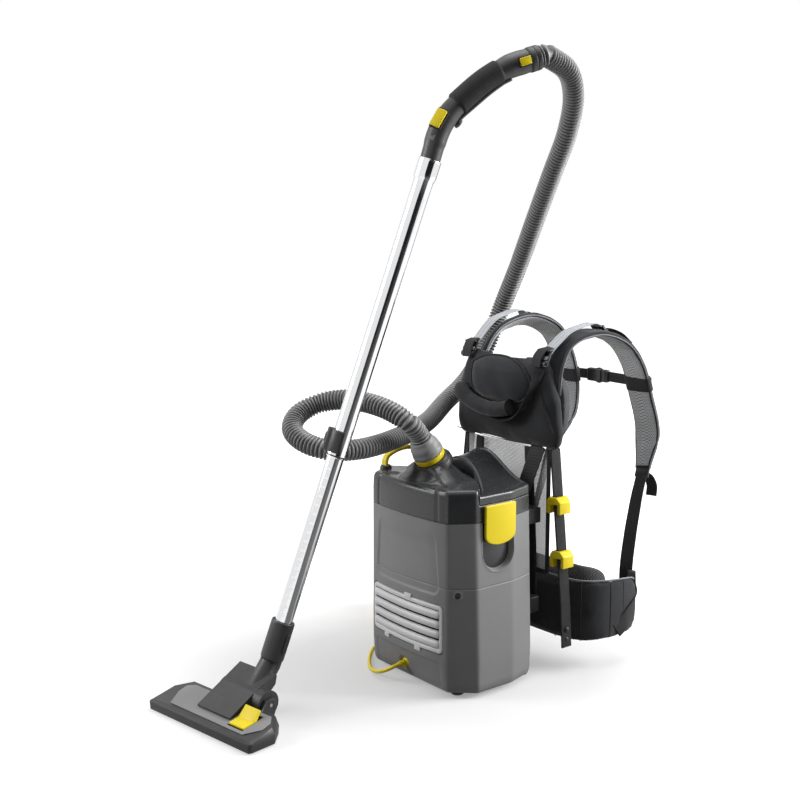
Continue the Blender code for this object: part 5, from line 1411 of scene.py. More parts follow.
def make_wand():
    """Plated outer tube with a flared mouth, inner tube with a row of pressed dimples, and the lock's
    saddle."""
    matrix, r, flare = wand_axes(), OUTER_RADIUS, 0.0205
    outer = [(flare, 0.0), (flare + 0.0004, -0.0015), (flare, -0.003), (flare, -0.030),
             (flare - 0.0008, -0.034),
             (r, -0.039), (r, -0.546), (r + 0.0006, -0.548), (r, -0.550), (r - 0.001, -0.550),
             (r - 0.001, -0.04),
             (flare - 0.001, -0.033), (flare - 0.001, 0.0)]
    tube = closed_turning("outer_tube_chrome", outer, matrix, FINISHES["chrome"], 96)
    tidy_shading(tube, 40)
    finish_piece(tube, "lid, hose and wand", "outer_tube")
    levels = np.concatenate([[-0.30, -0.3004, -0.45], np.linspace(-0.555, -0.862, 300), [-0.8996, -0.900]])
    count = 84
    angle = np.linspace(0, 2 * math.pi, count, endpoint=False)
    spacing = 0.0172
    near = np.abs((levels + 0.556) / spacing - np.round((levels + 0.556) / spacing)) * spacing
    reach = (levels < -0.560) & (levels > -0.850)
    turn = np.angle(np.exp(1j * (angle - math.radians(70)))) * INNER_RADIUS
    dip = 0.0011 * (1 - ramp(np.hypot(near[:, None] * 1.0, turn[None, :] * 0.8), 0.0012, 0.0036)) * reach[:,
                                                                                                          None]
    radius = INNER_RADIUS - dip
    radius[[0, -1]] -= 0.0004
    local = np.stack([radius * np.cos(angle), radius * np.sin(angle),
                      np.broadcast_to(levels[:, None], radius.shape)], axis=-1)
    inside = np.full((2, count), INNER_RADIUS - 0.0013)
    bore = np.stack([inside * np.cos(angle), inside * np.sin(angle),
                     np.broadcast_to(np.array([[-0.900], [-0.30]]), inside.shape)], axis=-1)
    tube = skin("inner_tube_chrome", placed(np.concatenate([local, bore]), matrix), FINISHES["chrome"],
                joined=True)
    tidy_shading(tube, 40)
    finish_piece(tube, "inner tube", "inner_tube")
    swell = lambda a: 0.0222 + 0.0062 * ramp(1.0 - np.abs(a) / 0.62, 0.0, 0.55)
    saddle = part_ring(matrix, -1.75, 1.75, r + 0.0004, swell, -0.541, -0.501, 61)
    lock = skin("lock_saddle", saddle.transpose(1, 0, 2), FINISHES["black"])
    soften_edges(lock, 0.0012, 3, 35)
    finish_piece(lock, "lid, hose and wand", "tube_lock")
    ring = closed_turning("lock_ring", [(r + 0.0002, -0.5475), (r + 0.0022, -0.5475), (r + 0.0024, -0.5450),
                                        (r + 0.0002, -0.5450)], matrix, FINISHES["black"])
    finish_piece(ring, "lid, hose and wand")
    face = axes(placed(np.array([0.0245, 0, -0.519]), matrix), matrix[:3, 1], matrix[:3, 0])
    slide = slab("lock_button", rounded_outline(0.0062, 0.0080, 0.0015), 0.0005, 0.0056, face,
                 FINISHES["plate"], 0.0008)
    finish_piece(slide, frame_body("tube_lock_slider"), "tube_lock_slider")
    sleeve = [(0.0165, -0.8625), (0.0208, -0.8625), (0.0216, -0.8650), (0.0217, -0.9290), (0.0212, -0.9345),
              (0.0180, -0.9350), (0.0165, -0.9020)]
    item = closed_turning("neck_socket", sleeve, matrix, FINISHES["black"], 72)
    finish_piece(item, frame_body("neck_sleeve"), "neck_sleeve")
    rib = axes(placed(np.array([-0.0165, 0.0125, -0.899]), matrix), matrix[:3, 2],
               (-matrix[:3, 0] + matrix[:3, 1] * 0.75))
    key = slab("neck_key", rounded_outline(0.018, 0.0042, 0.002), -0.002, 0.0040, rib, FINISHES["black"],
               0.0012)
    finish_piece(key, frame_body("neck_sleeve"))


def make_handle():
    """Handle pipe that swells at its head, with its soft grip over the top, guard rail, slider, button
    and collar."""
    line = handle_line(140)
    across = handle_axis()
    sides = fixed_sides(line, across)
    t = np.linspace(0, 1, 140)
    radius = np.interp(t, [0, 0.10, 0.105, 0.30, 0.40, 0.78, 0.86, 0.95, 1.0],
                       [0.0182, 0.0184, 0.0196, 0.0200, 0.0190, 0.0188, 0.0212, 0.0216, 0.0208])
    kernel = np.hanning(9)[1:-1] / np.hanning(9)[1:-1].sum()
    radius = np.concatenate([radius[:3], np.convolve(radius, kernel, mode="valid"), radius[-3:]])
    outer = sweep(line, circle(radius, 64), sides)
    bores = sweep(line[::-6], circle(0.0150, 64), (sides[0][::-6], sides[1][::-6]))
    pipe = skin("handle_body", np.concatenate([outer, bores]), FINISHES["handle"], joined=True)
    tidy_shading(pipe, 45)
    finish_piece(pipe, "lid, hose and wand", "handle_pipe")
    first, last = round(0.41 * 139), round(0.79 * 139)
    part = line[first:last + 1]
    wide, out = sides[0][first:last + 1], sides[1][first:last + 1]
    n = len(part)
    s = np.linspace(0, 1, n)
    edge = 0.0026 * np.minimum(ramp(s, 0.0, 0.035), 1 - ramp(s, 0.965, 1.0))
    angle = np.linspace(-0.42 * math.pi, 0.80 * math.pi, 44)
    ridge = 0.00035 * np.cos(angle * 26)
    lift = radius[first:last + 1][:, None] + 0.0004 + edge[:, None] * np.sqrt(np.clip(
        1 - np.abs((angle - angle.mean()) / (np.ptp(angle) / 2)) ** 8, 0, 1)) + ridge * (edge[:,
                                                                                              None] > 0.0015)
    toward = np.cos(angle), np.sin(angle)
    sign = 1.0 if out[n // 2][2] > 0 else -1.0
    top = part[:, None] + wide[:, None] * (lift * toward[0])[..., None] + out[:,
                                                                              None] * (sign * lift * toward[1])[..., None]
    low = part[:, None] + wide[:, None] * ((lift * 0 + 0.0150) * toward[0])[..., None] + out[:, None] * (
        sign * (lift * 0 + 0.0150) * toward[1])[..., None]
    grip = skin("handle_soft_grip", np.concatenate([top, low[:, ::-1]], axis=1), FINISHES["rubber"])
    tidy_shading(grip, 50)
    finish_piece(grip, "lid, hose and wand", "handle_grip")
    below = -np.array((0, 0, 1.0))
    under = below - headings(line) * (headings(line) * below).sum(1)[:, None]
    under /= np.linalg.norm(under, axis=1)[:, None]
    span = slice(round(0.33 * 139), round(0.85 * 139))
    gap = 0.0060 * np.sin(np.linspace(0, math.pi, span.stop - span.start)) ** 0.6
    rail = smooth_path(line[span] + under[span] * (radius[span] + 0.0002 + gap * 0.55)[:, None], 70)
    bar = sweep(rail, oval(0.0068, 0.0034, 20, 0.7), fixed_sides(rail, across))
    finish_piece(skin("guard_rail", bar, FINISHES["handle"]), "lid, hose and wand")
    spot, ahead = rail[1], headings(rail)[1]
    hook = smooth_path(spot + np.array([(0, 0, 0), (0, 0, 0), (0, 0, 0)])
                       + np.outer((0.004, -0.004, -0.010), ahead)
                       + np.outer((0.0, 0.003, 0.002), under[span][0]), 16)
    item = skin("guard_hook", sweep(hook, circle(0.0058, 20), carried_sides(hook)), FINISHES["black"])
    finish_piece(item, "lid, hose and wand")
    make_handle_controls(across)


def make_handle_controls(across):
    """Yellow slider in its dark bed, a plain pale pad below it, the release button, and the collar of the
    hose."""
    coarse = handle_line(24)
    spot, ahead = coarse[6], coarse[8] - coarse[4]
    ahead = ahead / np.linalg.norm(ahead)
    forward = np.cross(across, ahead)
    out = across * 0.75 + forward * 0.66
    face = axes(spot, ahead, out)
    low = 0.0206
    bed = slab("slider_bed", rounded_outline(0.0190, 0.0118, 0.003), low - 0.006, low - 0.0004, face,
               FINISHES["rubber"],
               0.0008)
    finish_piece(bed, "lid, hose and wand")
    slide = slab("suction_slider", rounded_outline(0.0162, 0.0098, 0.002), low - 0.0002, low + 0.0045, face,
                 FINISHES["yellow"], 0.0012, 4)
    finish_piece(slide, frame_body("bleed_slider"), "bleed_slider")
    shift = np.array(face)
    shift[:3, 3] = coarse[3]
    pad = slab("blank_pad", rounded_outline(0.0052, 0.0058, 0.001), 0.0165, 0.0200, shift, FINISHES["trim"],
               0.0004, 2)
    finish_piece(pad, "lid, hose and wand")
    spot, ahead = coarse[22], headings(coarse)[22]
    face = axes(spot, ahead, across)
    bed = slab("button_bed", rounded_outline(0.0120, 0.0092, 0.002), 0.0150, 0.0222, face,
               FINISHES["rubber"], 0.0008)
    finish_piece(bed, "lid, hose and wand")
    push = slab("hose_button", rounded_outline(0.0098, 0.0070, 0.0015), 0.0222, 0.0266, face,
                FINISHES["yellow"], 0.001)
    finish_piece(push, frame_body("release_button"), "release_button")
    ahead = coarse[-1] - coarse[-2]
    matrix = axes(coarse[-1] + ahead / np.linalg.norm(ahead) * 0.0003, across, ahead)
    profile = [(0.0160, 0.0), (0.0212, 0.0), (0.0224, 0.0030), (0.0222, 0.0110), (0.0214, 0.0122),
               (0.0222, 0.0134),
               (0.0220, 0.0205), (0.0208, 0.0220), (0.0160, 0.0220)]
    item = closed_turning("hose_collar", profile, matrix, FINISHES["black"], 64)
    finish_piece(item, frame_body("hose_end_collar"), "hose_end_collar")


def make_tool():
    """Floor tool: bevelled body, plate, neck and pedal."""
    for node, finish, bevel, slot in (("nozzle_body", "black", 0.0016, "black_plastic"),
                                      ("nozzle_top_plate", "plate", 0.0006, "label_grey"),
                                      ("swivel_neck", "black", 0.0014, "black_plastic"),
                                      ("nozzle_pedal", "yellow", 0.0007, "signal_yellow")):
        item = merged_copy(node, FINISHES[finish], bevel, 3)
        finish_piece(item, frame_body(node), node)


def paint_nodes():
    """Give every CAD node that stays in view its own procedural finish."""
    plain = {"base_plate": "black", "motor_casing": "black", "motor_fan": "steel", "motor_deck": "black",
             "filter_basket": "black", "dust_bag": "filter", "exhaust_filter": "filter",
             "lid_gasket": "rubber",
             "neck_hinge_pin": "steel", "brush_strip": "bristle", "cord_clip_lower": "yellow",
             "cord_clip_upper": "yellow", "carrier_lower": "black", "carrier_upper": "black",
             "frame_bar_left": "black", "frame_bar_right": "black", "inner_bar_left": "black",
             "inner_bar_right": "black"}
    for name, item in frame["nodes"].items():
        finish = FINISHES[plain.get(name, "cloth")]
        if not item.data.materials:
            item.data.materials.append(finish)
        for place in item.material_slots:
            place.material = finish


# ---------------------------------------------------------------- harness

YOKE_LEVELS = np.array([(0.441, 0.146, 0.242, 0.276), (0.475, 0.150, 0.238, 0.278),
                        (0.540, 0.143, 0.234, 0.276),
                        (0.590, 0.124, 0.236, 0.274), (0.610, 0.116, 0.240, 0.270),
                        (0.620, 0.108, 0.246, 0.266)])
STRAP_PATHS = {
    "right": [(0.104, 0.262, 0.545), (0.102, 0.270, 0.598), (0.098, 0.296, 0.638), (0.097, 0.340, 0.657),
              (0.100, 0.398, 0.660),
              (0.098, 0.470, 0.634), (0.095, 0.518, 0.585), (0.095, 0.545, 0.520), (0.105, 0.558, 0.445),
              (0.118, 0.532, 0.366)],
    "left": [(-0.098, 0.262, 0.560), (-0.098, 0.276, 0.610), (-0.097, 0.304, 0.648), (-0.098, 0.350, 0.668),
             (-0.100, 0.410, 0.672),
             (-0.100, 0.475, 0.645), (-0.100, 0.512, 0.590), (-0.100, 0.530, 0.530), (-0.101, 0.528, 0.465),
             (-0.106, 0.495, 0.400)],
}
WEB_PATHS = {
    "right": [(0.119, 0.527, 0.362), (0.128, 0.500, 0.305), (0.138, 0.474, 0.240), (0.144, 0.458, 0.180),
              (0.146, 0.455, 0.140)],
    "left": [(-0.107, 0.491, 0.396), (-0.116, 0.474, 0.320), (-0.130, 0.462, 0.240), (-0.142, 0.456, 0.180),
             (-0.146, 0.455, 0.140)],
}
STRAP_FACING = {
    "right": [(1, 0, 0), (1, 0, 0)],
    "left": [(0.75, -0.60, 0.10), (0.80, -0.50, 0.30), (0.88, -0.10, 0.42), (0.94, 0.0, 0.30), (1, 0, 0),
             (1, 0, 0),
             (1, 0, 0), (1, 0, 0)],
}
BELT_HALF = [(0.060, 0.290), (0.125, 0.293), (0.160, 0.303), (0.182, 0.335), (0.190, 0.385), (0.186, 0.435)]
BELT_MIDDLE, BELT_HEIGHT, BELT_THICK = 0.120, 0.140, 0.020


def plump(item, reach, voxel=0.005, pressure=4.0):
    """Padded fabric: the closed mesh is divided evenly, blown up as cloth for twenty frames with no
    gravity, each
    point's way is cut to the reach, and one subdivision smooths the result."""
    even = item.modifiers.new("even faces", "REMESH")
    even.mode, even.voxel_size, even.use_smooth_shade = "VOXEL", voxel, True
    apply_modifiers(item)
    start = np.empty(3 * len(item.data.vertices))
    item.data.vertices.foreach_get("co", start)
    fabric = item.modifiers.new("fabric", "CLOTH")
    fabric.settings.quality = 5
    fabric.settings.mass = 0.3
    fabric.settings.tension_stiffness = fabric.settings.compression_stiffness = 12.0
    fabric.settings.bending_stiffness = 0.6
    fabric.settings.use_pressure = True
    fabric.settings.uniform_pressure_force = pressure
    fabric.settings.effector_weights.gravity = 0.0
    fabric.collision_settings.use_collision = False
    fabric.point_cache.frame_start, fabric.point_cache.frame_end = 1, 20
    for number in range(1, 21):
        bpy.context.scene.frame_set(number)
    apply_modifiers(item)
    end = np.empty_like(start)
    item.data.vertices.foreach_get("co", end)
    start, end = start.reshape(-1, 3), end.reshape(-1, 3)
    way = end - start
    length = np.linalg.norm(way, axis=1, keepdims=True)
    start += way * np.minimum(1.0, reach / np.maximum(length, 1e-9))
    item.data.vertices.foreach_set("co", start.ravel())
    item.data.update()
    smoother = item.modifiers.new("smooth", "SUBSURF")
    smoother.levels = smoother.render_levels = 1
    apply_modifiers(item)
    item.data.shade_smooth()
    bpy.context.scene.frame_set(1)
    return item


def strip(name, points, width, thick, across, finish, count=60, ripple=0.0):
    """Woven tape: a flat oval section carried along the path, with its own UV, and a slight ripple of
    sine form."""
    path = smooth_path(points, count)
    across = np.asarray(across, float)
    if across.ndim > 1:
        across = even_path(across, count)
    wide, out = fixed_sides(path, across)
    along = np.linspace(0, path_length(path), count)
    path = path + out * (ripple * np.sin(along / 0.011))[:, None]
    grid = sweep(path, oval(width / 2, thick / 2, 24, 0.35), (wide, out))
    return skin(name, grid, FINISHES[finish], uv=(2 * width, along))


def cord_line(name, path, radius, finish, closed=False):
    """Thin round piping or seam along a path."""
    return skin(name, sweep(path, circle(radius, 8), carried_sides(path)), FINISHES[finish], joined=closed)


def ladder_buckle(name, centre, ahead, face, body, width=0.036, length=0.032, bar="plate"):
    """Ladder lock: a bevelled plate, a low bar and a middle bar across it, and a curled lip."""
    matrix = axes(centre, ahead, face)
    plate = slab(name, rounded_outline(length / 2, width / 2, 0.003), -0.0024, 0.0012, matrix,
                 FINISHES["black"], 0.0008)
    finish_piece(plate, body)
    for label, share, finish in (("low", -0.62, "black"), ("middle", -0.02, bar)):
        place, reach = share * length / 2, width / 2 - 0.002
        rod = even_path(placed(np.array([(place, -reach, 0.0022), (place, reach, 0.0022)]), matrix), 8)
        item = skin(f"{name}_bar_{label}", sweep(rod, oval(length * 0.12, 0.0022, 20, 0.75),
                                                 fixed_sides(rod, matrix[:3, 0])),
                    FINISHES[finish])
        finish_piece(item, body)
    lip = even_path(placed(np.array([(length / 2 - 0.002, -width / 2 + 0.002, 0.0030),
                                     (length / 2 - 0.002, width / 2 - 0.002, 0.0030)]), matrix), 6)
    item = skin(name + "_lip", sweep(lip, circle(0.0022, 14), carried_sides(lip)), FINISHES["black"])
    finish_piece(item, body)


def yoke_row(z):
    """Half width, front and back of the yoke at a height, by straight steps between its levels."""
    return [np.interp(z, YOKE_LEVELS[:, 0], YOKE_LEVELS[:, k]) for k in (1, 2, 3)]


def yoke_front(x, z, proud=0.0):
    """Front face of the yoke: its superellipse of fourth power, solved for y, and moved forward by proud."""
    half, front, back = yoke_row(z)
    depth = (1 - np.clip(np.abs(x) / half, 0, 0.995) ** 4) ** 0.25
    return (front + back) / 2 - (back - front) / 2 * depth - proud


def make_yoke():
    """Shoulder yoke: a lofted superellipse blown up as cloth, a domed front pocket with piping, seams,
    and the mesh
    cushion on the wearer's side."""
    share = np.linspace(0, 1, 60)
    z = 0.441 + 0.179 * share
    half, front, back = yoke_row(z)
    close = np.sqrt(np.clip(1 - np.abs(2 * share - 1) ** 9, 0.0, 1))
    shape = oval(half * (0.90 + 0.10 * close), (back - front) / 2 * (0.12 + 0.80 * close), 96, 0.5)
    middle = np.stack([np.zeros(60), (front + back) / 2, z], axis=1)
    grid = middle[:, None, :] + np.stack([shape[..., 0], shape[..., 1], np.zeros(shape.shape[:2])], axis=-1)
    grid[..., 2] -= 0.002 * np.sin(grid[..., 0] * 34 + 0.6) * (1 - share[:, None]) ** 3
    grid[..., 2] += 0.006 * (1 - 1.9 * np.exp(-(grid[..., 0] / 0.065) ** 2)) * share[:, None] ** 4
    yoke = plump(skin("yoke", grid, FINISHES["cloth"]), 0.004, 0.0055)
    finish_piece(yoke, frame_body("yoke_pad"), "yoke_pad")
    outline = np.array([(-0.080, 0.600), (-0.050, 0.6125), (-0.010, 0.617), (0.030, 0.613), (0.066, 0.597),
                        (0.086, 0.573), (0.084, 0.552), (0.066, 0.536), (0.030, 0.5275), (-0.015, 0.526),
                        (-0.050, 0.531), (-0.076, 0.544), (-0.084, 0.566), (-0.083, 0.588), (-0.080, 0.600)])
    edge = smooth_path(outline, 121)[:-1]
    ring = np.linspace(0, 1, 26)[:, None, None]
    flat = np.array((0.0, 0.571)) + (edge - (0.0, 0.571)) * ring
    rise = 0.0240 * (1 - ring[..., 0] ** 2.6) ** 0.62 - 0.002
    fold = 0.0007 * np.sin(flat[..., 0] * 120 + flat[..., 1] * 60) * (ring[..., 0] * (1 - ring[..., 0])) * 4
    dome = np.stack([flat[..., 0], yoke_front(flat[..., 0], flat[..., 1], 0.002) - rise - fold,
                     flat[..., 1]], axis=-1)
    pocket = skin("yoke_pocket", dome[1:], FINISHES["cloth"])
    finish_piece(pocket, frame_body("yoke_pad"))
    trail = np.column_stack([edge[:, 0], yoke_front(edge[:, 0], edge[:, 1], 0.0045), edge[:, 1]])
    finish_piece(cord_line("pocket_piping", trail, 0.0021, "rubber", True), frame_body("yoke_pad"))
    for name, line in (("seam_right_low", [(0.104, 0.575), (0.122, 0.53), (0.141, 0.480)]),
                       ("seam_right_high", [(0.104, 0.578), (0.112, 0.596), (0.117, 0.61)]),
                       ("seam_left", [(-0.082, 0.545), (-0.105, 0.542), (-0.130, 0.544)]),
                       ("seam_hem", [(-0.139, 0.454), (-0.05, 0.451), (0.05, 0.450), (0.141, 0.453)])):
        flat = smooth_path(np.array(line), 40)
        trail = np.column_stack([flat[:, 0], yoke_front(flat[:, 0], flat[:, 1], 0.0036), flat[:, 1]])
        finish_piece(cord_line(name, trail, 0.0009, "rubber"), frame_body("yoke_pad"))
    turn = np.linspace(0, 2 * math.pi, 96, endpoint=False)
    rim = oval(0.140, 0.080, 96, 0.62)[0]
    rings = np.concatenate([np.linspace(0.02, 0.85, 20), 1 - 0.15 * np.linspace(1, 0, 12)[1:] ** 2])[:, None]
    x, z = rings * rim[:, 0], 0.524 + rings * rim[:, 1]
    bulge = 0.060 * np.sqrt(np.clip(1 - rings ** 3, 0, 1)) * (1 - 0.35 * np.exp(-(x / 0.03) ** 2))
    grid = np.stack([x + 0 * turn, 0.269 + bulge, z + 0 * turn], axis=-1)
    along = np.concatenate([[0], np.cumsum(np.linalg.norm(np.diff(grid[:, 0], axis=0), axis=1))])
    cushion = skin("back_cushion", grid, FINISHES["dark mesh"], uv=(0.42, along))
    finish_piece(cushion, frame_body("yoke_pad"))


def make_roll():
    """Carry roll: a sagging tube with slight creases, a flat piped end at its right, and the black tape
    that hangs
    from the right buckle and passes behind it."""
    path = smooth_path([(-0.116, 0.236, 0.542), (-0.100, 0.2195, 0.538), (-0.070, 0.2165, 0.522),
                        (-0.020, 0.2155, 0.512), (0.018, 0.2160, 0.514), (0.044, 0.2175, 0.521)], 90)
    t = np.linspace(0, 1, 90)
    radius = 0.0150 * (1 - 0.35 * (1 - ramp(t, 0, 0.10))) * (1 + 0.020 * np.sin(t * 31) * np.sin(t * 7))
    grid = sweep(path, circle(radius, 40), fixed_sides(path, (0, 0, 1)))
    roll = skin("carry_roll_cloth", grid, FINISHES["cloth"])
    tidy_shading(roll, 50)
    finish_piece(roll, frame_body("carry_roll"), "carry_roll")
    ahead = headings(path)[-1]
    matrix = axes(path[-1], (0, 0, 1), ahead)
    edge = [(0.0001, 0.0022), (0.0120, 0.0018), (0.0140, 0.0010), (0.0158, 0.0008), (0.0164, -0.0004),
            (0.0158, -0.0018),
            (0.0140, -0.0020), (0.0001, -0.0020)]
    finish_piece(skin("roll_end", lathe(rounded(edge, 4), matrix, 48), FINISHES["cloth"]),
                 frame_body("carry_roll"))
    turn = np.linspace(0, 2 * math.pi, 64, endpoint=False)
    ring = placed(np.column_stack([0.0150 * np.cos(turn), 0.0150 * np.sin(turn), np.full(64, 0.0012)]),
                  matrix)
    finish_piece(cord_line("roll_piping", ring, 0.0017, "rubber", True), frame_body("carry_roll"))
    tape_line = [(0.106, 0.2335, 0.598), (0.104, 0.2270, 0.575), (0.090, 0.2235, 0.545),
                 (0.070, 0.2215, 0.518),
                 (0.044, 0.2220, 0.5005), (0.012, 0.2250, 0.4935), (-0.022, 0.2290, 0.4960)]
    side = [(0.5, 0.75, 0.3), (0.2, 0.9, 0.3), (0.3, 0.8, 0.4), (0, 0.8, 0.6), (0, 0.85, 0.5), (0, 1, 0.3),
            (0, 1, 0)]
    item = strip("hanging_tape", tape_line, 0.020, 0.0022, side, "black tape", 80)
    finish_piece(item, frame_body("yoke_pad"))


def strap_section(width, thick, count, power=0.5):
    """Half of an oval that lies on the wearer's side: the arc from edge to edge, closed by a line inside
    the pad."""
    angle = np.linspace(math.pi * 1.04, math.pi * 1.96, count)
    c, s = np.cos(angle), np.sin(angle)
    arc = np.stack([np.sign(c) * np.abs(c) ** power * width, np.sign(s) * np.abs(s) ** power * thick],
                   axis=1)
    back = np.column_stack([np.linspace(arc[-1, 0], arc[0, 0], 8), np.full(8, -0.35 * thick)])
    return np.vstack([arc, back])


def make_straps(sizes):
    """Padded straps: an oval section with creases where the strap bends, a mesh face towards the wearer,
    piping on
    both edges, a taper at the lower end, and the elastic band at chest height."""
    for side, points in STRAP_PATHS.items():
        count = 150
        path = smooth_path(points, count)
        t = np.linspace(0, 1, count)
        along = t * path_length(path)
        node = "shoulder_strap_" + side
        body = frame_body(node)
        tip = 1 - 0.42 * ramp(t, 0.86, 1.0)
        half = sizes.strap_width / 2 * tip
        crease = 0.0007 * np.sin(along / 0.0062) * (ramp(t, 0.15, 0.3) * (1 - ramp(t, 0.5, 0.7)))
        fold = 0.0028 * np.exp(-((t - 0.90) / 0.012) ** 2)
        thick = sizes.strap_thick / 2 * np.sqrt(np.clip(1 - (2 * t - 1) ** 40, 0.05,
                                                        1)) - fold + crease * 0.6
        sides = fixed_sides(path, even_path(np.array(STRAP_FACING[side], float),
                                            count) if side == "left" else (1, 0, 0))
        pad = skin("strap_pad_" + side, sweep(path, oval(half, thick, 56, 0.55), sides), FINISHES["cloth"])
        finish_piece(pad, body, node)
        unit = strap_section(1.0, 1.0, 30)
        face = unit[None] * np.stack([half - 0.0016, thick + 0.0010], axis=1)[:, None, :]
        face = sweep(path[2:-2], face[2:-2], (sides[0][2:-2], sides[1][2:-2]))
        item = skin("strap_mesh_" + side, face, FINISHES["mesh"], uv=(0.075, along[2:-2]))
        finish_piece(item, body)
        for edge, sign in (("outer", 1), ("inner", -1)):
            line = path + sides[0] * (sign * (half + 0.0002))[:, None] - sides[1] * 0.0022
            item = cord_line(f"strap_piping_{edge}_{side}", line[1:-1], 0.0015, "trim")
            finish_piece(item, body)
        spot = int(np.argmin(np.abs(path[:, 2] - 0.545) + (t < 0.5)))
        cut = slice(spot - 4, spot + 5)
        band = sweep(path[cut], oval(half[cut] + 0.0022, thick[cut] + 0.0026, 56, 0.5),
                     (sides[0][cut], sides[1][cut]))
        item = skin("strap_band_" + side, band, FINISHES["black tape"], uv=(0.15, along[cut]))
        soften_edges(item, 0.0005, 2, 50)
        finish_piece(item, body)


def make_load_lifters():
    """Pale webbing from the yoke's corner over the strap's crest, a buckle at each end, and a loose tail."""
    for side, sign in (("right", 1), ("left", -1)):
        node = "load_lifter_" + side
        lift = 0.0 if sign > 0 else 0.012
        line = np.array([(0.105, 0.2470, 0.618), (0.105, 0.262, 0.635), (0.105, 0.304, 0.6645 + lift * 0.8),
                         (0.105, 0.350, 0.6775 + lift), (0.105, 0.381, 0.6800 + lift),
                         (0.105, 0.395, 0.6735 + lift),
                         (0.104, 0.404, 0.6645 + lift)])
        line[:, 0] *= sign
        item = strip("lifter_tape_" + side, line, 0.0265, 0.0024, (1, 0, 0), "pale tape", 80, 0.0004)
        finish_piece(item, frame_body(node), node)
        tail = np.array([(0.108, 0.262, 0.641), (0.104, 0.245, 0.637), (0.101, 0.235, 0.624),
                         (0.100, 0.232, 0.606)])
        tail[:, 0] *= sign
        item = strip("lifter_tail_" + side, tail, 0.024, 0.0022, (1, 0, 0), "black tape", 40, 0.0003)
        finish_piece(item, frame_body(node))
        spot = np.array((0.105 * sign, 0.2445, 0.6215))
        ladder_buckle("yoke_buckle_" + side, spot, (0, 0.45, 0.89), (0, -0.89, 0.45),
                      frame_body("yoke_pad"), 0.037, 0.034)
        spot = np.array((0.104 * sign, 0.402, 0.6685 + lift))
        ladder_buckle("crest_buckle_" + side, spot, (0, 1, -0.9), (0, 0.9, 1), frame_body(node), 0.034,
                      0.020)
        loose = np.array([(0.104, 0.404, 0.6690 + lift), (0.103, 0.430, 0.6655 + lift),
                          (0.102, 0.462, 0.6540 + lift),
                          (0.100, 0.492, 0.6340 + lift)])
        loose[:, 0] *= sign
        item = strip("lifter_end_" + side, loose, 0.024, 0.0022, (1, 0, 0.1), "black tape", 40)
        finish_piece(item, frame_body(node))


def make_lower_webbing():
    """Black webbing from each strap's tip to the belt, twisting as it falls, with a small buckle and a
    short tail."""
    for side, points in WEB_PATHS.items():
        node = "lower_webbing_" + side
        sign = 1 if side == "right" else -1
        turning = [(1, 0, 0), (0.9, 0.4 * sign, 0), (0.75, 0.65 * sign, 0), (0.7, 0.7 * sign, 0),
                   (0.7, 0.7 * sign, 0)]
        item = strip("belt_tape_" + side, points, 0.0265, 0.0028, turning, "black tape", 90, 0.0003)
        finish_piece(item, frame_body(node), node)
        spot = np.array(points[0]) + np.array((0.0, 0.002, 0.001))
        ahead = np.array(points[1]) - np.array(points[0])
        ladder_buckle("tip_buckle_" + side, spot, ahead, np.cross((1.0, 0, 0), ahead), frame_body(node),
                      0.034, 0.024)
        tail = np.array([spot, spot + (0.004 * sign, 0.012, -0.010), spot + (0.009 * sign, 0.020, -0.030),
                         spot + (0.010 * sign, 0.018, -0.052)])
        item = strip("tip_tail_" + side, tail, 0.025, 0.0022, (1, 0.2 * sign, 0), "black tape", 40)
        finish_piece(item, frame_body(node))


def make_chest_strap():
    """Chest tapes with a slight sag, and the two halves of the side release buckle, each with an open
    slit."""
    for side, first, last in (("right", 0.108, -0.016), ("left", -0.128, -0.076)):
        node = "chest_strap_" + side
        line = [(first, 0.5600, 0.546), ((first + last) / 2, 0.5640, 0.5443), (last, 0.5640, 0.5450)]
        item = strip("chest_tape_" + side, line, 0.0215, 0.0026, (0, 0, 1), "black tape", 60, 0.0003)
        finish_piece(item, frame_body(node), node)
    matrix = axes((-0.046, 0.564, 0.545), (1, 0, 0), (0, -1, 0))
    socket = slab("buckle_socket", rounded_outline(0.0200, 0.0140, 0.004, (-0.006, 0)), -0.0058, 0.0058,
                  matrix,
                  FINISHES["black"], 0.0022, 4)
    tongue = slab("buckle_tongue", rounded_outline(0.0085, 0.0135, 0.003, (0.0245, 0)), -0.0052, 0.0052,
                  matrix,
                  FINISHES["black"], 0.0018, 4)
    for item, place, node in ((socket, -0.0205, "chest_strap_left"), (tongue, 0.0275, "chest_strap_right")):
        slit = slab("slit", rounded_outline(0.0018, 0.0100, 0.0008, (place, 0)), -0.02, 0.02, matrix,
                    FINISHES["black"], 0)
        cut_away(item, slit)
        tidy_shading(item, 35)
        finish_piece(item, frame_body(node))
    for sign in (-1, 1):
        spring = smooth_path(np.array([(-0.0295, 0.5640, 0.545 + 0.0115 * sign),
                                       (-0.040, 0.5640, 0.545 + 0.0148 * sign),
                                       (-0.050, 0.5640, 0.545 + 0.0120 * sign)]), 16)
        item = skin(f"buckle_spring_{'low' if sign < 0 else 'high'}",
                    sweep(spring, oval(0.0032, 0.0022, 16, 0.7), fixed_sides(spring, (0, 1, 0))),
                    FINISHES["black"])
        finish_piece(item, frame_body("chest_strap_right"))


def belt_line(count):
    """Level line of the hip belt from the left wing's end to the right wing's end, at the belt's middle."""
    half = np.array(BELT_HALF)
    line = np.vstack([half[::-1] * (-1, 1), half])
    flat = smooth_path(line, count)
    return np.column_stack([flat, np.full(count, BELT_MIDDLE)])


def belt_half_height(t):
    """Half height of the belt along it: full at the back, and less by a cubic towards each wing's end."""
    return BELT_HEIGHT / 2 * (1 - 0.18 * np.abs(2 * t - 1) ** 3)


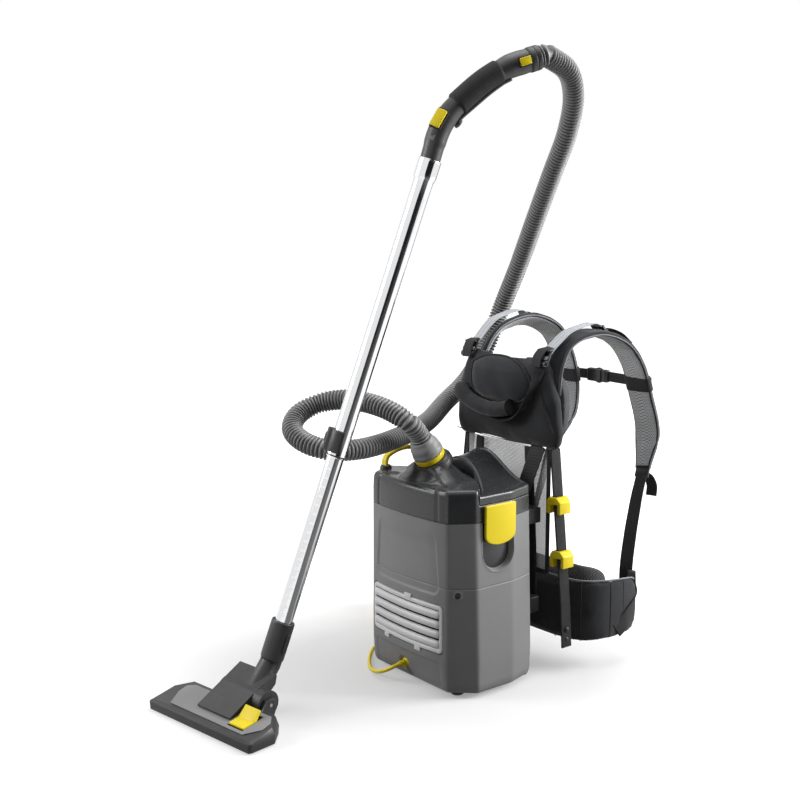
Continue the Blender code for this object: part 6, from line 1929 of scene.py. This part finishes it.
def make_hip_belt():
    """Hip belt: an oval wall blown up as cloth, seams, pale piping on its top edge, mesh facing, lumbar
    cushion,
    slanted tapes and the two buckle halves on the wings."""
    body = frame_body("hip_belt")
    count = 130
    path = belt_line(count)
    t = np.linspace(0, 1, count)
    along = t * path_length(path)
    height = belt_half_height(t) * np.sqrt(np.clip(1 - (2 * t - 1) ** 60, 0.15, 1))
    sides = fixed_sides(path, (0, 0, 1))
    thick = BELT_THICK / 2 * 0.80
    wall = skin("hip_belt_pad", sweep(path, oval(height - 0.003, thick, 56, 0.5), sides), FINISHES["cloth"])
    plump(wall, 0.005, 0.0055)
    finish_piece(wall, body, "hip_belt")
    top = path + np.array((0, 0, 1)) * (height - 0.0046)[:, None] - sides[1] * 0.005
    finish_piece(cord_line("belt_piping", top[2:-2], 0.0017, "trim"), body)
    for number, place in enumerate((0.07, 0.13, 0.22, 0.31, 0.69, 0.78, 0.87, 0.93)):
        k = int(place * (count - 1))
        rise = np.linspace(-0.86, 0.86, 26)
        bow = np.sqrt(np.clip(1 - np.abs(rise) ** 4, 0, 1))
        for face, sign in (("out", -1), ("in", 1)):
            line = (path[k] + np.outer(rise * height[k], (0, 0, 1))
                    + np.outer(sign * (thick * bow + 0.0022), sides[1][k]))
            finish_piece(cord_line(f"belt_seam_{face}_{number}", line, 0.0009, "rubber"), body)
    k = slice(16, count - 16)
    inner = strap_section(1.0, 1.0, 30)[None] * np.stack([height[k] * 0.90, np.full(count - 32, thick
                                                                                    + 0.0042)], 1)[:, None]
    item = skin("belt_mesh", sweep(path[k], inner * (1, -1), (sides[0][k], sides[1][k])),
                FINISHES["dark mesh"],
                uv=(0.17, along[k]))
    finish_piece(item, body)
    share = np.linspace(-1, 1, count - 32)
    fade = np.sqrt(np.clip(1 - np.abs(share) ** 8, 0.02, 1))
    crown = path[k] + np.outer(height[k] * 0.86, (0, 0, 1)) + sides[1][k] * (thick + 0.007)
    item = skin("belt_lining", sweep(crown, oval(0.031 * fade, 0.0080 * fade, 48, 0.7),
                                     (sides[0][k], sides[1][k])),
                FINISHES["dark mesh"], uv=(0.08, along[k]))
    finish_piece(item, body)
    rim = oval(0.088, 0.060, 72, 0.7)[0]
    rings = np.concatenate([np.linspace(0.03, 0.85, 16), 1 - 0.15 * np.linspace(1, 0, 10)[1:] ** 2])[:, None]
    bulge = 0.024 * np.sqrt(np.clip(1 - rings ** 2.4, 0, 1)) * (1 - 0.25 * np.exp(-(rings * rim[:,
                                                                                                0] / 0.02) ** 2))
    grid = np.stack([rings * rim[:, 0], 0.300 + bulge, 0.150 + rings * rim[:, 1]], axis=-1)
    reach = np.concatenate([[0], np.cumsum(np.linalg.norm(np.diff(grid[:, 0], axis=0), axis=1))])
    cushion = skin("lumbar_cushion", grid, FINISHES["dark mesh"], uv=(0.30, reach))
    finish_piece(cushion, body)
    for side, sign in (("right", 1), ("left", -1)):
        slant = np.array([(0.146, 0.456, 0.150), (0.168, 0.447, 0.140), (0.190, 0.430, 0.122),
                          (0.2005, 0.400, 0.098),
                          (0.1985, 0.370, 0.076)])
        slant[:, 0] *= sign
        item = strip("belt_slant_" + side, slant, 0.036, 0.0028, (0, 0.3, 1.0), "black tape", 70)
        finish_piece(item, body)
        matrix = axes((0.166 * sign, 0.4485, 0.160), (0.75 * sign, -0.55, 0.25), (0.6 * sign, 0.75, 0.0))
        item = slab("belt_buckle_" + side, rounded_outline(0.024, 0.0165, 0.004), -0.0060, 0.0060, matrix,
                    FINISHES["black"], 0.002, 4)
        cut_away(item, slab("slit", rounded_outline(0.002, 0.0115, 0.001, (-0.012, 0)), -0.02, 0.02, matrix,
                            FINISHES["black"], 0))
        tidy_shading(item, 35)
        finish_piece(item, body)


def make_back_panel():
    """Open mesh panel with bound edges, curved a little towards the wearer, and the slanted tape in front
    of it."""
    x, z = np.meshgrid(np.linspace(-0.119, 0.119, 49), np.linspace(0.1965, 0.4440, 51))
    y = 0.2535 + 0.0012 * np.cos(x / 0.119 * math.pi / 2)
    front = np.stack([x, y, z], axis=-1)
    item = skin("back_mesh_panel", front, FINISHES["open mesh"], closed=False,
                uv=(0.238, np.linspace(0, 0.2475, 51)))
    finish_piece(item, frame_body("back_mesh"), "back_mesh")
    for name, points in (("left", [(-0.119, 0.2535, 0.197), (-0.119, 0.2535, 0.32),
                                   (-0.119, 0.2535, 0.444)]),
                         ("right", [(0.119, 0.2535, 0.197), (0.119, 0.2535, 0.32), (0.119, 0.2535, 0.444)]),
                         ("low", [(-0.119, 0.2535, 0.1975), (0.0, 0.2547, 0.1975),
                                  (0.119, 0.2535, 0.1975)])):
        wide = (0, 0, 1) if name == "low" else (1, 0, 0)
        item = strip("back_binding_" + name, points, 0.010, 0.0022, wide, "black tape", 30)
        finish_piece(item, frame_body("back_mesh"))
    line = [(0.098, 0.246, 0.452), (0.082, 0.2440, 0.410), (0.062, 0.2380, 0.350), (0.044, 0.2290, 0.290),
            (0.034, 0.218, 0.240)]
    item = strip("slanted_tape", line, 0.034, 0.0024, (1, 0.1, 0.2), "dark mesh", 60)
    finish_piece(item, frame_body("back_mesh"))


def make_frame_bars():
    """Frame bars, carriers and yellow cord hooks with rounded edges, and the rivets at the bars' feet."""
    for node, finish, width in (("frame_bar_left", "rubber", 0.0008), ("frame_bar_right", "rubber", 0.0008),
                                ("inner_bar_left", "rubber", 0.0008), ("inner_bar_right", "rubber", 0.0008),
                                ("carrier_lower", "black", 0.0012), ("carrier_upper", "black", 0.0012),
                                ("cord_clip_lower", "yellow", 0.0018),
                                ("cord_clip_upper", "yellow", 0.0018)):
        finish_piece(merged_copy(node, FINISHES[finish], width, 3), frame_body(node), node)
    head = rounded([(0.0001, 0.0030), (0.0030, 0.0026), (0.0048, 0.0010), (0.0050, -0.0010),
                    (0.0001, -0.0010)], 4)
    for side, sign in (("left", -1), ("right", 1)):
        for number, height in enumerate((0.072, 0.092)):
            matrix = axes(((0.1652 + 0.0006 * number) * sign, 0.265, height), (0, 0, 1), (sign, 0, 0))
            item = skin(f"rivet_{side}_{number}", lathe(head, matrix, 24), FINISHES["black"])
            finish_piece(item, frame_body("frame_bar_" + side))


# ---------------------------------------------------------------- operators and panel

class VACUUM_OT_finishes(bpy.types.Operator):
    """Build the shader groups once and every material from the colour settings."""
    bl_idname = "vacuum.finishes"
    bl_label = "Finishes"

    def execute(self, context):
        make_finishes(context.scene.vacuum_colours)
        return {"FINISHED"}


class VACUUM_OT_camera(bpy.types.Operator):
    """Place the camera on the machine's front right."""
    bl_idname = "vacuum.camera"
    bl_label = "Camera"

    def execute(self, context):
        make_camera()
        return {"FINISHED"}


class VACUUM_OT_hose(bpy.types.Operator):
    bl_idname = "vacuum.hose"
    bl_label = "Suction hose"

    def execute(self, context):
        make_hose(context.scene.vacuum_sizes)
        return {"FINISHED"}


class VACUUM_OT_mains_cord(bpy.types.Operator):
    """Lay the mains cord and its coil, and add the plug and the tapered sleeve at the machine."""
    bl_idname = "vacuum.mains_cord"
    bl_label = "Mains cord"

    def execute(self, context):
        make_mains_cord(context.scene.vacuum_sizes)
        make_gland()
        return {"FINISHED"}


class VACUUM_OT_housing(bpy.types.Operator):
    """Shape the two grey shells with their relief, seam and recesses."""
    bl_idname = "vacuum.housing"
    bl_label = "Housing"

    def execute(self, context):
        make_housing()
        return {"FINISHED"}


class VACUUM_OT_lid(bpy.types.Operator):
    """Shape the domed lid and the saddle-shaped rear cowl."""
    bl_idname = "vacuum.lid"
    bl_label = "Lid and cowl"

    def execute(self, context):
        make_lid()
        make_cowl()
        return {"FINISHED"}


class VACUUM_OT_grille(bpy.types.Operator):
    """Shape the bowed ribs and the frame of the exhaust grille."""
    bl_idname = "vacuum.grille"
    bl_label = "Exhaust grille"

    def execute(self, context):
        make_grille(context.scene.vacuum_sizes)
        return {"FINISHED"}


class VACUUM_OT_latches(bpy.types.Operator):
    """Shape the two yellow latches."""
    bl_idname = "vacuum.latches"
    bl_label = "Latches"

    def execute(self, context):
        make_latches()
        return {"FINISHED"}


class VACUUM_OT_inlet(bpy.types.Operator):
    """Turn the foot ring, the yellow collar and the hose cone."""
    bl_idname = "vacuum.inlet"
    bl_label = "Hose inlet"

    def execute(self, context):
        make_inlet()
        return {"FINISHED"}


class VACUUM_OT_carry_handle(bpy.types.Operator):
    """Bend the yellow carry handle and its two black feet."""
    bl_idname = "vacuum.carry_handle"
    bl_label = "Carry handle"

    def execute(self, context):
        make_carry_handle()
        return {"FINISHED"}


class VACUUM_OT_wand(bpy.types.Operator):
    """Turn the two plated tubes, the lock and the neck socket."""
    bl_idname = "vacuum.wand"
    bl_label = "Wand"

    def execute(self, context):
        make_wand()
        return {"FINISHED"}


class VACUUM_OT_handle(bpy.types.Operator):
    """Shape the handle pipe, its grip, guard rail, slider, button and collar."""
    bl_idname = "vacuum.handle"
    bl_label = "Handle"

    def execute(self, context):
        make_handle()
        return {"FINISHED"}


class VACUUM_OT_floor_tool(bpy.types.Operator):
    """Round the edges of the floor tool, its plate, neck and pedal."""
    bl_idname = "vacuum.floor_tool"
    bl_label = "Floor tool"

    def execute(self, context):
        make_tool()
        return {"FINISHED"}


class VACUUM_OT_yoke(bpy.types.Operator):
    """Blow up the yoke, add its front pocket and the cushion behind it, and hang the carry roll."""
    bl_idname = "vacuum.yoke"
    bl_label = "Shoulder yoke"

    def execute(self, context):
        make_yoke()
        make_roll()
        return {"FINISHED"}


class VACUUM_OT_straps(bpy.types.Operator):
    """Shape both padded straps with their mesh faces, piping and bands."""
    bl_idname = "vacuum.straps"
    bl_label = "Shoulder straps"

    def execute(self, context):
        make_straps(context.scene.vacuum_sizes)
        return {"FINISHED"}


class VACUUM_OT_webbing(bpy.types.Operator):
    """Lay the load lifters, the lower webbing and the chest strap with their buckles."""
    bl_idname = "vacuum.webbing"
    bl_label = "Webbing"

    def execute(self, context):
        make_load_lifters()
        make_lower_webbing()
        make_chest_strap()
        return {"FINISHED"}


class VACUUM_OT_hip_belt(bpy.types.Operator):
    """Blow up the hip belt and add its seams, piping, mesh, cushion and buckles."""
    bl_idname = "vacuum.hip_belt"
    bl_label = "Hip belt"

    def execute(self, context):
        make_hip_belt()
        return {"FINISHED"}


class VACUUM_OT_back_panel(bpy.types.Operator):
    """Stretch the open mesh panel between its bindings."""
    bl_idname = "vacuum.back_panel"
    bl_label = "Back panel"

    def execute(self, context):
        make_back_panel()
        return {"FINISHED"}


class VACUUM_OT_frame_bars(bpy.types.Operator):
    """Round the frame bars, carriers and cord hooks, and set the rivets."""
    bl_idname = "vacuum.frame_bars"
    bl_label = "Frame bars"

    def execute(self, context):
        make_frame_bars()
        return {"FINISHED"}


class VACUUM_OT_shown_nodes(bpy.types.Operator):
    """Give every remaining solid its own finish."""
    bl_idname = "vacuum.shown_nodes"
    bl_label = "Remaining solids"

    def execute(self, context):
        paint_nodes()
        return {"FINISHED"}


class VACUUM_OT_stage(bpy.types.Operator):
    """Make the white floor, the lamps and the studio sky."""
    bl_idname = "vacuum.stage"
    bl_label = "Stage"

    def execute(self, context):
        make_stage()
        return {"FINISHED"}


STEPS = (VACUUM_OT_finishes, VACUUM_OT_camera, VACUUM_OT_hose, VACUUM_OT_mains_cord, VACUUM_OT_housing,
         VACUUM_OT_lid, VACUUM_OT_grille, VACUUM_OT_latches, VACUUM_OT_inlet, VACUUM_OT_carry_handle,
         VACUUM_OT_wand, VACUUM_OT_handle, VACUUM_OT_floor_tool, VACUUM_OT_yoke, VACUUM_OT_straps,
         VACUUM_OT_webbing, VACUUM_OT_hip_belt, VACUUM_OT_back_panel, VACUUM_OT_frame_bars,
         VACUUM_OT_shown_nodes, VACUUM_OT_stage)


class VACUUM_PT_panel(bpy.types.Panel):
    """Settings and pieces of the backpack vacuum cleaner."""
    bl_idname = "VACUUM_PT_panel"
    bl_label = "Backpack Vacuum Cleaner"
    bl_space_type = "VIEW_3D"
    bl_region_type = "UI"
    bl_category = "Vacuum"

    def draw(self, context):
        for settings in (context.scene.vacuum_colours, context.scene.vacuum_sizes):
            box = self.layout.box()
            for field in settings.__annotations__:
                box.prop(settings, field)
        for step in STEPS:
            self.layout.operator(step.bl_idname)


CLASSES = (VACUUM_PG_colours, VACUUM_PG_sizes) + STEPS + (VACUUM_PT_panel,)


def register():
    """Register every class and hang the two groups of settings on the scene."""
    for item in CLASSES:
        bpy.utils.register_class(item)
    bpy.types.Scene.vacuum_colours = PointerProperty(type=VACUUM_PG_colours)
    bpy.types.Scene.vacuum_sizes = PointerProperty(type=VACUUM_PG_sizes)


def unregister():
    """Undo register."""
    del bpy.types.Scene.vacuum_sizes
    del bpy.types.Scene.vacuum_colours
    for item in reversed(CLASSES):
        bpy.utils.unregister_class(item)


# ---------------------------------------------------------------- run

def main():
    """Register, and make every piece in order."""
    register()
    for step in STEPS:
        group, name = step.bl_idname.split(".")
        getattr(getattr(bpy.ops, group), name)()


if __name__ == "__main__":
    main()
